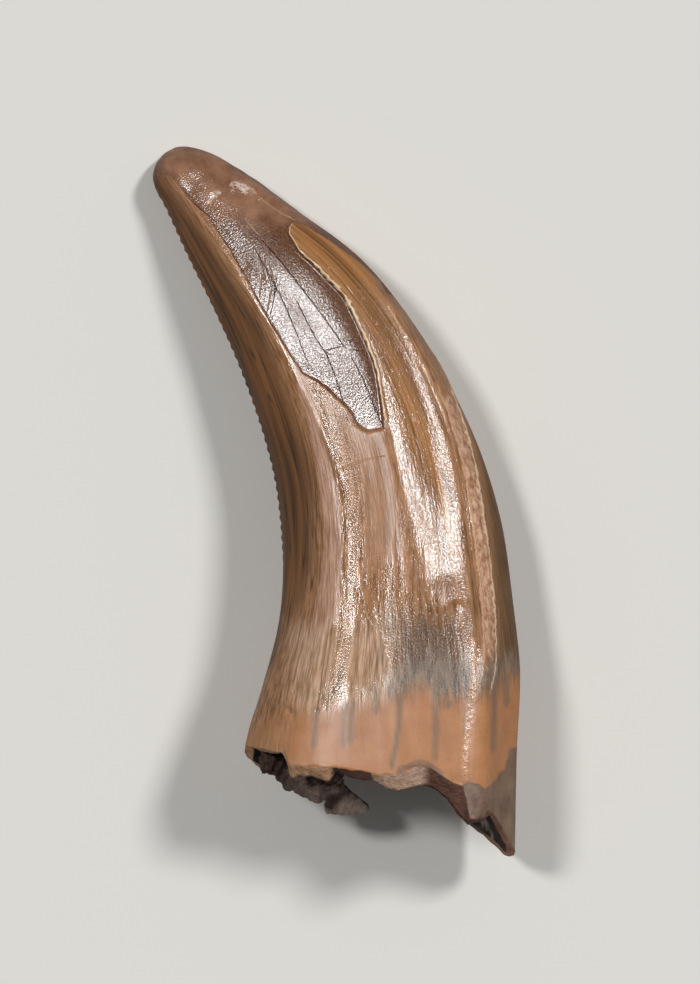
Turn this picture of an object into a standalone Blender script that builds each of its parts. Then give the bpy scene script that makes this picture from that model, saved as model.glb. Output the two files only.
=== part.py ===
"""Fossil tyrannosaur tooth, lying on its flank as it rests on a table.

Two pieces: the tooth itself, a recurved crown with a broken, thin-walled root, and the
dark sediment that fills its pulp cavity. Sizes are in millimetres until the last step.
+X points to the mesial (convex) edge, +Y from the root to the tip, and +Z up from the table.
"""

import math

import bmesh
import bpy
import numpy as np
from mathutils import Vector

MM = 0.001

# The two edges of the crown as it lies, tip to root line, at matching stations. A station is
# the share of the way from the tip (0) to the root line (1); the root's shard goes past 1.
STATIONS = (0, 0.015, 0.03, 0.06, 0.1, 0.2, 0.3, 0.4, 0.5, 0.6, 0.7, 0.8, 0.9, 1.0, 1.18)
DISTAL_X = (-7.6, -8.0, -8.3, -8.4, -7.8, -6.55, -5.3, -4.15, -3.2, -2.6, -2.4, -2.65, -3.4, -4.2, -4.3)
DISTAL_Y = (16.1, 15.8, 15.4, 14.55, 13.45, 10.8, 8.2, 5.55, 2.8, 0.0, -2.9, -5.8, -8.65, -11.4, -16.8)
MESIAL_X = (-7.6, -7.15, -6.6, -5.6, -4.4, -1.6, 1.15, 3.35, 5.15, 6.6, 7.55, 8.05, 8.4, 8.25, 8.15)
MESIAL_Y = (16.1, 16.25, 16.2, 15.85, 15.15, 13.15, 11.0, 8.35, 5.35, 2.2, -1.1, -4.5, -8.0, -11.4, -16.8)
THICKNESS_SHARE = 0.72  # a thick tyrannosaur crown: thickness over width, the same all along
REST_FLAT = 0.1  # how deep the table side is worn flat

# The upper surface's rails from the distal edge to the mesial one, each at RAIL_STATIONS: the place
# across the half width (-1 to 1), then the height as a share of the thickness.
RAIL_STATIONS = (0.06, 0.2, 0.3, 0.4, 0.5, 0.6, 0.67, 0.75, 0.82, 1.0)
UPPER_RAILS = (
    (  # distal flank
        (-0.80, -0.78, -0.78, -0.78, -0.78, -0.78, -0.79, -0.80, -0.82, -0.86),
        (0.735, 0.720, 0.710, 0.700, 0.705, 0.720, 0.744, 0.770, 0.780, 0.750),
    ),
    (  # flank ridge, outer side
        (-0.50, -0.47, -0.49, -0.485, -0.50, -0.56, -0.59, -0.61, -0.63, -0.68),
        (0.920, 0.925, 0.905, 0.890, 0.893, 0.905, 0.914, 0.922, 0.908, 0.870),
    ),
    (  # flank ridge, inner side
        (-0.34, -0.28, -0.30, -0.30, -0.33, -0.36, -0.38, -0.40, -0.41, -0.46),
        (0.940, 0.950, 0.930, 0.921, 0.925, 0.960, 0.974, 0.984, 0.969, 0.942),
    ),
    (  # worn facet
        (0.10, 0.12, 0.10, 0.10, 0.02, -0.02, -0.06, -0.10, -0.10, -0.08),
        (0.970, 0.988, 0.976, 0.972, 0.963, 0.972, 0.982, 0.992, 0.989, 0.984),
    ),
    (  # enamel edge
        (0.45, 0.50, 0.48, 0.38, 0.26, 0.18, 0.21, 0.26, 0.26, 0.25),
        (0.955, 0.987, 0.985, 0.985, 0.982, 0.976, 0.981, 0.988, 0.998, 0.998),
    ),
    (  # flute wall
        (0.58, 0.62, 0.60, 0.52, 0.38, 0.30, 0.34, 0.40, 0.42, 0.50),
        (0.920, 0.967, 0.969, 0.968, 0.956, 0.948, 0.946, 0.962, 0.990, 0.990),
    ),
    (  # flute floor
        (0.74, 0.76, 0.76, 0.76, 0.73, 0.64, 0.58, 0.52, 0.57, 0.66),
        (0.860, 0.940, 0.945, 0.943, 0.925, 0.905, 0.897, 0.932, 0.970, 0.968),
    ),
    (  # mesial ridge
        (0.86, 0.87, 0.87, 0.86, 0.82, 0.755, 0.70, 0.64, 0.67, 0.76),
        (0.780, 0.915, 0.922, 0.920, 0.895, 0.861, 0.854, 0.893, 0.940, 0.922),
    ),
    (  # shoulder beside it
        (0.93, 0.945, 0.95, 0.940, 0.900, 0.820, 0.77, 0.72, 0.725, 0.82),
        (0.680, 0.790, 0.800, 0.795, 0.790, 0.778, 0.800, 0.830, 0.880, 0.830),
    ),
    (  # mesial carina
        (0.97, 0.975, 0.98, 0.968, 0.928, 0.855, 0.815, 0.775, 0.77, 0.87),
        (0.580, 0.680, 0.690, 0.695, 0.700, 0.705, 0.735, 0.770, 0.800, 0.730),
    ),
)
DISTAL_RAIL = (-1.0, 0.46)
MESIAL_RAIL = (1.0, 0.47)
LOWER_RAILS = ((0.86, 0.20), (0.46, 0.03), (0.02, 0.0), (-0.46, 0.05), (-0.84, 0.24))
# How finely each rail's interval is divided, from the distal edge round to it again.
UPPER_COLUMNS = (7, 6, 5, 7, 7, 4, 5, 4, 3, 3, 4)
LOWER_COLUMNS = (5, 5, 5, 5, 5, 5)

# The broken lips of the root wall, as (x, y) from the distal side to the mesial one.
FRONT_LIP = (
    (-4.25, -11.05), (-3.75, -11.2), (-3.35, -11.2), (-2.7, -11.38), (-2.45, -11.3), (-2.28, -11.2),
    (-2.2, -11.85), (-1.0, -11.95), (0.0, -12.0), (0.1, -12.05), (0.65, -12.1), (1.25, -12.15),
    (1.85, -12.35), (2.4, -12.3), (3.25, -12.2), (3.6, -11.95), (4.15, -12.0), (4.75, -12.35),
    (5.3, -12.7), (5.75, -12.85), (6.05, -14.3), (6.4, -14.35), (6.7, -14.3), (6.85, -13.9),
    (7.1, -14.15), (7.5, -14.75), (7.9, -15.5), (8.1, -15.9), (8.3, -16.0),
)
FRONT_INNER_LIP = (
    (-4.0, -11.1), (-3.4, -11.35), (-2.7, -11.45), (-2.3, -11.3), (-2.05, -12.5), (-1.9, -12.6),
    (-1.65, -12.4), (-1.05, -12.45), (-0.3, -12.7), (-0.15, -12.45), (0.05, -12.15), (0.7, -12.5),
    (1.85, -12.65), (2.2, -12.95), (2.8, -13.1), (3.4, -12.95), (4.0, -12.85), (4.4, -12.95),
    (5.0, -13.45), (5.5, -14.15), (5.9, -14.6), (6.3, -14.5), (6.65, -14.45), (6.85, -14.1),
    (7.05, -14.4), (7.4, -15.1), (7.7, -15.6), (8.0, -16.0),
)
BACK_LIP = (
    (-4.25, -11.1), (-4.15, -11.6), (-3.7, -12.05), (-3.3, -12.45), (-2.8, -12.6), (-2.3, -12.5),
    (-1.6, -12.2), (-0.3, -11.8), (2.0, -11.65), (4.3, -11.9), (4.9, -12.9), (5.3, -13.8),
    (5.55, -14.4), (6.0, -14.8), (6.8, -15.4), (7.3, -15.8), (7.7, -16.2), (8.0, -16.25), (8.3, -16.0),
)
BACK_INNER_LIP_RISE = 0.2

# The pulp cavity: its inner wall keeps these shares of the half width and half thickness.
CAVITY_APEX = 0.7
CAVITY_WIDTH_SHARE = 0.93
CAVITY_THICKNESS_SHARE = 0.87

# The carinae: serrated crests with one denticle every half millimetre. Each has the rail that it
# stands on, the stations where it starts and ends, and its denticles' height.
DENTICLE_PITCH = 0.5
CARINAE = (
    ("distal_carina", 0, (0.085, 0.7), 0.12),
    ("mesial_carina", 10, (0.3, 0.86), 0.09),
)
NOTCH_SHARE = 0.15  # how much of a denticle's height is left in the notch beside it
SHOULDERS = (0.3, 0.8)  # where a denticle's two shoulders are, as shares of the pitch
FADING_DENTICLES_SHARE = 6  # the denticles shrink over a sixth of the carina at each end
CARINA_ROOT = 0.45  # how far the crest is set into the crown
CARINA_HALF_WIDTH = 0.2
CREST_SHARE = 0.15  # the crest's width, as a share of the carina's

# The sediment: a plug up the cavity, and the lumps that stand out of it past the broken edge.
PLUG_SPAN = (0.75, 0.965)
PLUG_GAP = 0.35
PLUG_RINGS = 6
PLUG_SIDES = 24
# Each lump: its centre, its three radii, and its turn about the vertical, in degrees.
LUMPS = (
    ((-2.85, -11.7, 4.4), (0.65, 0.75, 1.0), -20),
    ((-2.45, -11.95, 4.3), (0.65, 0.75, 1.0), 15),
    ((-1.95, -12.4, 4.1), (0.6, 0.8, 1.1), -25),
    ((-1.4, -12.65, 4.5), (0.7, 0.85, 1.2), 10),
    ((-0.75, -12.8, 4.6), (0.6, 0.95, 1.3), -15),
    ((-0.4, -12.5, 4.2), (0.5, 0.95, 1.2), 30),
    ((-0.25, -11.7, 3.6), (0.55, 1.3, 1.2), 5),
)
# The last lump is a three-cornered clod: its outline as (x, y), and its lower and upper face.
CLOD_OUTLINE = (
    (-0.5, -12.7), (0.3, -12.6), (0.75, -13.3), (1.5, -13.98), (0.9, -14.3), (-0.45, -14.28),
)
CLOD_HEIGHTS = (2.7, 4.0)
LUMP_ROUGHNESS = 0.12
SEDIMENT_SEED = 7

TIP_SHARE = 0.06  # the rounded end of the tip, where the rows crowd together
TIP_ROWS = 4
CROWN_ROWS = 22
CROWN_END = 0.88  # past this station the rows run out to the broken lip
ROOT_ROWS = 4
RIM_ROWS = 2
CAVITY_ROWS = 5
CAVITY_MOUTH = 0.93

SAMPLES = 600  # stations at which the crown's columns are worked out


def curve_through(x, y):
    """A smooth curve through the points (x, y), as a function of x, made of cubic pieces."""
    x = np.asarray(x, float)
    y = np.asarray(y, float)
    step = np.diff(x)
    slope = np.diff(y, axis=0) / step.reshape(-1, *[1] * (y.ndim - 1))
    before, after = step[:-1], step[1:]
    share = (after / (before + after)).reshape(-1, *[1] * (y.ndim - 1))
    inner = slope[:-1] * share + slope[1:] * (1 - share)
    tangent = np.concatenate([slope[:1], inner, slope[-1:]])

    def at(wanted):
        wanted = np.clip(wanted, x[0], x[-1])
        piece = np.clip(np.searchsorted(x, wanted, side="right") - 1, 0, len(step) - 1)
        shape = (-1, *[1] * (y.ndim - 1))
        length = step[piece].reshape(shape)
        s = ((wanted - x[piece]) / step[piece]).reshape(shape)
        return (
            y[piece] * (2 * s**3 - 3 * s**2 + 1)
            + tangent[piece] * length * (s**3 - 2 * s**2 + s)
            + y[piece + 1] * (3 * s**2 - 2 * s**3)
            + tangent[piece + 1] * length * (s**3 - s**2)
        )

    return at


def edges(station):
    """The distal and the mesial edge at each station, as two arrays of (x, y)."""
    # The root of the station makes the tip round instead of pointed.
    root = np.sqrt(STATIONS)
    distal = curve_through(root, np.column_stack([DISTAL_X, DISTAL_Y]))
    mesial = curve_through(root, np.column_stack([MESIAL_X, MESIAL_Y]))
    return distal(np.sqrt(station)), mesial(np.sqrt(station))


def rails(station):
    """The closed ring of rails at each station, as shares of the half width and the thickness."""
    ring = [np.tile(DISTAL_RAIL, (len(station), 1))]
    for across, height in UPPER_RAILS:
        ring.append(curve_through(RAIL_STATIONS, np.column_stack([across, height]))(station))
    for rail in (MESIAL_RAIL, *LOWER_RAILS):
        ring.append(np.tile(rail, (len(station), 1)))
    return np.stack(ring, axis=1)


def rail_places():
    """Where each column runs, counted in rails from the distal edge."""
    counts = (*UPPER_COLUMNS, *LOWER_COLUMNS)
    places = [rail + np.arange(count) / count for rail, count in enumerate(counts)]
    return np.concatenate([*places, [len(counts)]])


def crown_samples():
    """Points of the crown's outer surface, as (SAMPLES, columns + 1, 3), and the stations they are at."""
    station = np.linspace(0, STATIONS[-1], SAMPLES)
    distal, mesial = edges(station)
    middle, half = (distal + mesial) / 2, (mesial - distal) / 2
    thickness = 2 * np.linalg.norm(half, axis=1) * THICKNESS_SHARE
    ring = rails(station)
    places = rail_places()
    points = np.empty((SAMPLES, len(places), 3))
    for row in range(SAMPLES):
        width = max(np.linalg.norm(half[row]), 1e-6)
        flat = ring[row] * (width, max(thickness[row], 1e-6))
        # Some rails more at each end, so that the closed ring is smooth at its seam.
        around = np.concatenate([flat[-2:], flat, flat[:3]])
        length = np.concatenate([[0], np.cumsum(np.linalg.norm(np.diff(around, axis=0), axis=1))])
        wanted = np.interp(places + 2, np.arange(len(length)), length)
        across, height = curve_through(length, around)(wanted).T
        across = np.clip(across, -width, width)
        points[row, :, :2] = middle[row] + np.outer(across / width, half[row])
        points[row, :, 2] = height
    points[:, :, 2] = np.maximum(points[:, :, 2] - REST_FLAT, 0)
    return station, points


def cavity_samples(station, points):
    """The pulp cavity's wall: the crown's columns drawn in, down to nothing at the apex."""
    depth = np.clip((station - CAVITY_APEX) / (1 - CAVITY_APEX), 0, 1) ** 0.5
    middle = points[:, :-1].mean(axis=1, keepdims=True)
    shares = (CAVITY_WIDTH_SHARE, CAVITY_WIDTH_SHARE, CAVITY_THICKNESS_SHARE)
    return middle + (points - middle) * depth[:, None, None] * shares


def lip_station(station, column, lip):
    """The station at which a column of points reaches a broken lip."""
    x, y = zip(*lip)
    above = column[:, 1] - np.interp(column[:, 0], x, y)
    past = int(np.argmax(above <= 0)) or len(station) - 1
    share = above[past - 1] / max(above[past - 1] - above[past], 1e-9)
    return float(station[past - 1] + np.clip(share, 0, 1) * (station[past] - station[past - 1]))


def column_rows(station, outer, inner, lip, inner_lip):
    """One column of the whole closed surface: tip, crown, root, broken rim, and the cavity up to its apex."""
    end = lip_station(station, outer, lip)
    inner_end = lip_station(station, inner, inner_lip)

    def along(points, at):
        return np.column_stack([np.interp(at, station, points[:, axis]) for axis in range(3)])

    tip = TIP_SHARE * (np.arange(TIP_ROWS) / TIP_ROWS) ** 2
    crown = np.linspace(TIP_SHARE, CROWN_END, CROWN_ROWS + 1)[:-1]
    root = np.linspace(CROWN_END, end, ROOT_ROWS + 1)
    outside = along(outer, np.concatenate([tip, crown, root]))
    mouth = np.linspace(inner_end, CAVITY_MOUTH, 3)[:-1]
    hollow = np.linspace(CAVITY_MOUTH, CAVITY_APEX, CAVITY_ROWS + 1)
    inside = along(inner, np.concatenate([mouth, hollow]))
    across = np.linspace(0, 1, RIM_ROWS + 1)[1:-1, None]
    rim = outside[-1] * (1 - across) + inside[0] * across
    return np.concatenate([outside, rim, inside])


def new_object(name, mesh_builder, material, collection):
    """A named object in the collection, whose mesh is what mesh_builder leaves in a bmesh, in millimetres."""
    built = bmesh.new()
    mesh_builder(built)
    bmesh.ops.scale(built, verts=built.verts[:], vec=(MM, MM, MM))
    mesh = bpy.data.meshes.new(name)
    built.to_mesh(mesh)
    built.free()
    made = bpy.data.objects.new(name, mesh)
    collection.objects.link(made)
    if material:
        mesh.materials.append(material)
    return made


def fill_grid(built, points, closed_ends=False):
    """A grid whose points are (rows, columns + 1, 3), welded along its seam and at its two ends."""
    rows, columns = points.shape[0] - 1, points.shape[1] - 1
    grid = bmesh.ops.create_grid(built, x_segments=columns, y_segments=rows, size=0.5)["verts"]
    for vertex in grid:
        column = round((vertex.co.x + 0.5) * columns)
        row = round((vertex.co.y + 0.5) * rows)
        vertex.co = points[row, column]
    bmesh.ops.remove_doubles(built, verts=grid, dist=1e-4)
    if closed_ends:
        bmesh.ops.holes_fill(built, edges=built.edges[:], sides=0)
    bmesh.ops.dissolve_degenerate(built, edges=built.edges[:], dist=1e-5)
    bmesh.ops.recalc_face_normals(built, faces=built.faces[:])


def build_crown(built):
    """The tooth's body as one closed surface, outside and cavity."""
    station, outer = crown_samples()
    inner = cavity_samples(station, outer)
    front = sum(UPPER_COLUMNS)
    back_inner = [(x, y + BACK_INNER_LIP_RISE) for x, y in BACK_LIP]
    columns = []
    for index in range(outer.shape[1] - 1):
        is_front = index <= front
        lip = FRONT_LIP if is_front else BACK_LIP
        inner_lip = FRONT_INNER_LIP if is_front else back_inner
        columns.append(column_rows(station, outer[:, index], inner[:, index], lip, inner_lip))
    columns.append(columns[0])
    rows = np.stack(columns, axis=1)
    rows[-1] = rows[-1].mean(axis=0)
    fill_grid(built, rows)


def build_carina(built, rail, span, height):
    """The serrated crest along a rail of the crown: a wedge, notched between its denticles."""
    station, outer = crown_samples()
    inside = (station >= span[0]) & (station <= span[1])
    seat = outer[inside, sum(UPPER_COLUMNS[:rail])]
    out_of = seat - outer[inside, :-1].mean(axis=1)
    run = np.concatenate([[0], np.cumsum(np.linalg.norm(np.diff(seat, axis=0), axis=1))])
    tangent = np.gradient(seat, run, axis=0)
    denticles = round(run[-1] / DENTICLE_PITCH)
    rings = []
    # Each denticle has three stations: the notch, then its two shoulders.
    for step in range(denticles * 3 + 1):
        mark = (step // 3 + (0, *SHOULDERS)[step % 3]) / denticles
        row = int(np.searchsorted(run, mark * run[-1]))
        side = np.cross(tangent[row], out_of[row])
        side *= CARINA_HALF_WIDTH / np.linalg.norm(side)
        outward = np.cross(side, tangent[row])
        outward /= np.linalg.norm(outward)
        fade = min(1, FADING_DENTICLES_SHARE * mark, FADING_DENTICLES_SHARE * (1 - mark))
        rise = height * (NOTCH_SHARE if step % 3 == 0 else 1) * max(fade, NOTCH_SHARE)
        heel = seat[row] - outward * CARINA_ROOT / 3
        crest = seat[row] + outward * rise
        blunt = side * CREST_SHARE
        root = seat[row] - outward * CARINA_ROOT
        rings.append([crest + blunt, heel + side, root, heel - side, crest - blunt, crest + blunt])
    fill_grid(built, np.array(rings), closed_ends=True)


def build_plug(built):
    """The sediment that fills the cavity, a gap clear of its wall."""
    station, outer = crown_samples()
    inner = cavity_samples(station, outer)
    rings = []
    for at in np.linspace(*PLUG_SPAN, PLUG_RINGS):
        row = int(np.argmin(abs(station - at)))
        ring = inner[row, :-1]
        picked = ring[np.linspace(0, len(ring), PLUG_SIDES, endpoint=False).astype(int)]
        centre = ring.mean(axis=0)
        reach = np.linalg.norm(picked - centre, axis=1, keepdims=True)
        picked = centre + (picked - centre) * np.maximum(1 - PLUG_GAP / reach, 0.1)
        rings.append(np.concatenate([picked, picked[:1]]))
    fill_grid(built, np.array(rings), closed_ends=True)


def build_lump(built, centre, radii, turn):
    """A weathered lump: a coarse sphere with its corners pushed in and out."""
    random = np.random.default_rng(SEDIMENT_SEED + int(100 * abs(centre[0])))
    ball = bmesh.ops.create_icosphere(built, subdivisions=2, radius=1)["verts"]
    angle = math.radians(turn)
    for vertex in ball:
        rough = 1 + LUMP_ROUGHNESS * random.uniform(-1, 1)
        x, y, z = (value * radius * rough for value, radius in zip(vertex.co, radii))
        turned = (x * math.cos(angle) - y * math.sin(angle), x * math.sin(angle) + y * math.cos(angle), z)
        vertex.co = Vector(centre) + Vector(turned)
    bmesh.ops.recalc_face_normals(built, faces=built.faces[:])


def build_clod(built):
    """The three-cornered clod that hangs from the plug's lumps: its outline, pulled up into a slab."""
    lower, upper = CLOD_HEIGHTS
    corners = [built.verts.new((x, y, lower)) for x, y in CLOD_OUTLINE]
    slab = bmesh.ops.extrude_face_region(built, geom=[built.faces.new(corners)])
    raised = [item for item in slab["geom"] if isinstance(item, bmesh.types.BMVert)]
    bmesh.ops.translate(built, verts=raised, vec=(0, 0, upper - lower))
    bmesh.ops.bevel(
        built, geom=built.edges[:], offset=0.16, segments=1, profile=0.5, affect="EDGES", material=-1
    )
    bmesh.ops.recalc_face_normals(built, faces=built.faces[:])


def join_with(target, tool):
    """Joins the tool to the target with a Boolean union, and hides the tool as a helper."""
    union = target.modifiers.new(tool.name, "BOOLEAN")
    union.operation = "UNION"
    union.solver = "EXACT"
    union.object = tool
    tool.hide_render = True
    tool.display_type = "WIRE"


def new_material(name, colour, roughness):
    """A plain material with the piece's colour and finish."""
    material = bpy.data.materials.new(name)
    material.use_nodes = True
    shader = material.node_tree.nodes["Principled BSDF"]
    shader.inputs["Base Color"].default_value = (*colour, 1)
    shader.inputs["Roughness"].default_value = roughness
    shader.inputs["Metallic"].default_value = 0
    material.diffuse_color = (*colour, 1)
    return material


def clear_scene():
    for old in list(bpy.data.objects):
        bpy.data.objects.remove(old)


def main():
    clear_scene()
    specimen = bpy.data.collections.new("tyrannosaur_tooth")
    helpers = bpy.data.collections.new("joined_shapes")
    for collection in (specimen, helpers):
        bpy.context.scene.collection.children.link(collection)
    enamel = new_material("fossil_enamel", (0.30, 0.15, 0.07), 0.35)
    sediment = new_material("dark_sediment", (0.055, 0.038, 0.03), 0.9)

    tooth = new_object("tooth", build_crown, enamel, specimen)
    for name, rail, span, height in CARINAE:
        crest = new_object(name, lambda built: build_carina(built, rail, span, height), None, helpers)
        join_with(tooth, crest)
    tooth.data.shade_smooth()

    filling = new_object("sediment_filling", build_plug, sediment, specimen)
    for number, (centre, radii, turn) in enumerate(LUMPS):
        lump = new_object(
            f"lump_{number}", lambda built: build_lump(built, centre, radii, turn), None, helpers
        )
        join_with(filling, lump)
    join_with(filling, new_object("clod", build_clod, None, helpers))


main()
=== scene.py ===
"""The looks of the fossil tyrannosaur tooth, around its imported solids.

Lengths are in millimetres, and a finished mesh is scaled to metres. As in the part, +Y runs from the
broken root to the tip, +X towards the mesial edge, and +Z up from the surface that the tooth lies on.
"""

import math
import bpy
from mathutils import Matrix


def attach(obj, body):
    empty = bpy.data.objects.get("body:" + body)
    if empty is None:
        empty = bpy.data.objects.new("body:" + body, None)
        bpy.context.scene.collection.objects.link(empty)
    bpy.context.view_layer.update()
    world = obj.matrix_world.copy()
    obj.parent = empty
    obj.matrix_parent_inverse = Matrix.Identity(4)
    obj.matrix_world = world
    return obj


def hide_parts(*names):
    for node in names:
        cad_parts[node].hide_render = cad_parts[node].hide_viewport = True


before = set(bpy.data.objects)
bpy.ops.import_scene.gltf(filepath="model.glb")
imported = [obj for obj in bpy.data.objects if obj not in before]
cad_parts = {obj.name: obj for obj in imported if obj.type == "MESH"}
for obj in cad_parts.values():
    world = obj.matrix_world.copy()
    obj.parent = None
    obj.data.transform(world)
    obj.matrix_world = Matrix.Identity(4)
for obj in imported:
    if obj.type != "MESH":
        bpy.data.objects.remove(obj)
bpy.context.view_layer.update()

from types import SimpleNamespace

import bmesh
import bpy
import numpy as np
from mathutils import Vector, noise

METRES = 0.001

# The two edges of the crown as it lies, tip to root line. A station is the share of the way from the
# tip (0) to the root line (1); the root's shard goes past 1.
STATIONS = (0, 0.015, 0.03, 0.06, 0.1, 0.2, 0.3, 0.4, 0.5, 0.6, 0.7, 0.8, 0.9, 1.0, 1.18)
DISTAL_X = (-7.6, -8.0, -8.3, -8.4, -7.8, -6.55, -5.3, -4.15, -3.2, -2.6, -2.4, -2.65, -3.4, -4.2, -4.3)
DISTAL_Y = (16.1, 15.8, 15.4, 14.55, 13.45, 10.8, 8.2, 5.55, 2.8, 0.0, -2.9, -5.8, -8.65, -11.4, -16.8)
MESIAL_X = (-7.6, -7.15, -6.6, -5.6, -4.4, -1.6, 1.15, 3.35, 5.15, 6.6, 7.55, 8.05, 8.4, 8.25, 8.15)
MESIAL_Y = (16.1, 16.25, 16.2, 15.85, 15.15, 13.15, 11.0, 8.35, 5.35, 2.2, -1.1, -4.5, -8.0, -11.4, -16.8)
# Thickness over width, the same all along: a thick tyrannosaur crown.
THICKNESS_SHARE = 0.72
# How deep the side that it lies on is worn flat.
REST_FLAT = 0.1

# The upper surface's rails from the distal edge to the mesial one, each at RAIL_STATIONS: the place
# across the half width (-1 to 1), then the height as a share of the thickness.
RAIL_STATIONS = (0.06, 0.2, 0.3, 0.4, 0.5, 0.6, 0.67, 0.75, 0.82, 1.0)
UPPER_RAILS = (
    (
        (-0.80, -0.78, -0.78, -0.78, -0.78, -0.78, -0.79, -0.80, -0.82, -0.86),
        (0.735, 0.720, 0.710, 0.700, 0.705, 0.720, 0.744, 0.770, 0.780, 0.750),
    ),
    (
        (-0.50, -0.47, -0.49, -0.485, -0.50, -0.56, -0.59, -0.61, -0.63, -0.68),
        (0.920, 0.925, 0.905, 0.890, 0.893, 0.905, 0.914, 0.922, 0.908, 0.870),
    ),
    (
        (-0.34, -0.28, -0.30, -0.30, -0.33, -0.36, -0.38, -0.40, -0.41, -0.46),
        (0.940, 0.950, 0.930, 0.921, 0.925, 0.960, 0.974, 0.984, 0.969, 0.942),
    ),
    (
        (0.10, 0.12, 0.10, 0.10, 0.02, -0.02, -0.06, -0.10, -0.10, -0.08),
        (0.970, 0.988, 0.976, 0.972, 0.963, 0.972, 0.982, 0.992, 0.989, 0.984),
    ),
    (
        (0.45, 0.50, 0.48, 0.38, 0.26, 0.18, 0.21, 0.26, 0.26, 0.25),
        (0.955, 0.987, 0.985, 0.985, 0.982, 0.976, 0.981, 0.988, 0.998, 0.998),
    ),
    (
        (0.58, 0.62, 0.60, 0.52, 0.38, 0.30, 0.34, 0.40, 0.42, 0.50),
        (0.920, 0.967, 0.969, 0.968, 0.956, 0.948, 0.946, 0.962, 0.990, 0.990),
    ),
    (
        (0.74, 0.76, 0.76, 0.76, 0.73, 0.64, 0.58, 0.52, 0.57, 0.66),
        (0.860, 0.940, 0.945, 0.943, 0.925, 0.905, 0.897, 0.932, 0.970, 0.968),
    ),
    (
        (0.86, 0.87, 0.87, 0.86, 0.82, 0.755, 0.70, 0.64, 0.67, 0.76),
        (0.780, 0.915, 0.922, 0.920, 0.895, 0.861, 0.854, 0.893, 0.940, 0.922),
    ),
    (
        (0.93, 0.945, 0.95, 0.940, 0.900, 0.820, 0.77, 0.72, 0.725, 0.82),
        (0.680, 0.790, 0.800, 0.795, 0.790, 0.778, 0.800, 0.830, 0.880, 0.830),
    ),
    (
        (0.97, 0.975, 0.98, 0.968, 0.928, 0.855, 0.815, 0.775, 0.77, 0.87),
        (0.580, 0.680, 0.690, 0.695, 0.700, 0.705, 0.735, 0.770, 0.800, 0.730),
    ),
)
DISTAL_RAIL = (-1.0, 0.46)
MESIAL_RAIL = (1.0, 0.47)
LOWER_RAILS = ((0.86, 0.20), (0.46, 0.03), (0.02, 0.0), (-0.46, 0.05), (-0.84, 0.24))
# How finely each rail's interval is divided, from the distal edge round to it again.
UPPER_COLUMNS = (16, 16, 14, 18, 20, 10, 14, 10, 8, 8, 12)
LOWER_COLUMNS = (12, 11, 11, 11, 11, 12)

# The broken lips of the root wall, as (x, y) from the distal side to the mesial one.
FRONT_LIP = (
    (-4.25, -11.05), (-3.75, -11.2), (-3.35, -11.2), (-2.7, -11.38), (-2.45, -11.3), (-2.28, -11.2),
    (-2.2, -11.85), (-1.0, -11.95), (0.0, -12.0), (0.1, -12.05), (0.65, -12.1), (1.25, -12.15),
    (1.85, -12.35), (2.4, -12.3), (3.25, -12.2), (3.6, -11.95), (4.15, -12.0), (4.75, -12.35),
    (5.3, -12.7), (5.75, -12.85), (6.05, -14.3), (6.4, -14.35), (6.7, -14.3), (6.85, -13.9),
    (7.1, -14.15), (7.5, -14.75), (7.9, -15.5), (8.1, -15.9), (8.3, -16.0),
)
FRONT_INNER_LIP = (
    (-4.0, -11.1), (-3.4, -11.35), (-2.7, -11.45), (-2.3, -11.3), (-2.05, -12.5), (-1.9, -12.6),
    (-1.65, -12.4), (-1.05, -12.45), (-0.3, -12.7), (-0.15, -12.45), (0.05, -12.15), (0.7, -12.5),
    (1.85, -12.65), (2.2, -12.95), (2.8, -13.1), (3.4, -12.95), (4.0, -12.85), (4.4, -12.95),
    (5.0, -13.45), (5.5, -14.15), (5.9, -14.6), (6.3, -14.5), (6.65, -14.45), (6.85, -14.1),
    (7.05, -14.4), (7.4, -15.1), (7.7, -15.6), (8.0, -16.0),
)
BACK_LIP = (
    (-4.25, -11.1), (-4.15, -11.6), (-3.7, -12.05), (-3.3, -12.45), (-2.8, -12.6), (-2.3, -12.5),
    (-1.6, -12.2), (-0.3, -11.8), (2.0, -11.65), (4.3, -11.9), (4.9, -12.9), (5.3, -13.8),
    (5.55, -14.4), (6.0, -14.8), (6.8, -15.4), (7.3, -15.8), (7.7, -16.2), (8.0, -16.25), (8.3, -16.0),
)
# At the back the inner lip is this much nearer the tip.
BACK_INNER_LIP_RISE = 0.2
# The height and the size of the roughness of the broken rim.
LIP_ROUGHNESS = 0.05
LIP_GRIT = 0.35

# The hollow: the station of its apex, and its width and thickness as shares of the crown's.
CAVITY_APEX = 0.7
CAVITY_WIDTH_SHARE = 0.93
CAVITY_THICKNESS_SHARE = 0.87

# The rows of the mesh from the tip, over the broken rim and up the hollow, and the stations that
# part them. The rows crowd together at the tip's rounded end.
TIP_SHARE = 0.03
TIP_ROWS = 14
CROWN_ROWS = 250
CROWN_END = 0.88
ROOT_ROWS = 66
OUTER_ROWS = TIP_ROWS + CROWN_ROWS + ROOT_ROWS + 1
RIM_ROWS = 6
MOUTH_ROWS = 10
CAVITY_ROWS = 12
CAVITY_MOUTH = 0.93
# The crown's columns are worked out at this many stations.
SAMPLES = 700
# Points nearer to each other than this become one.
WELD = 1e-4

# The denticles of both cutting edges: how far apart they are, how far they stand out, their width
# across the edge, what is left of them in a notch, and where the row starts and ends along the
# crown. Here and below a fade is a pair: where there is nothing, and where it is full.
DENTICLE_PITCH = 0.5
DENTICLE_HEIGHT = 0.08
DENTICLE_HALF_WIDTH = 0.14
NOTCH_SHARE = 0.2
DENTICLES_START = (1.5, 3.5)
DENTICLES_END = (23.0, 21.0)

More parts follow.
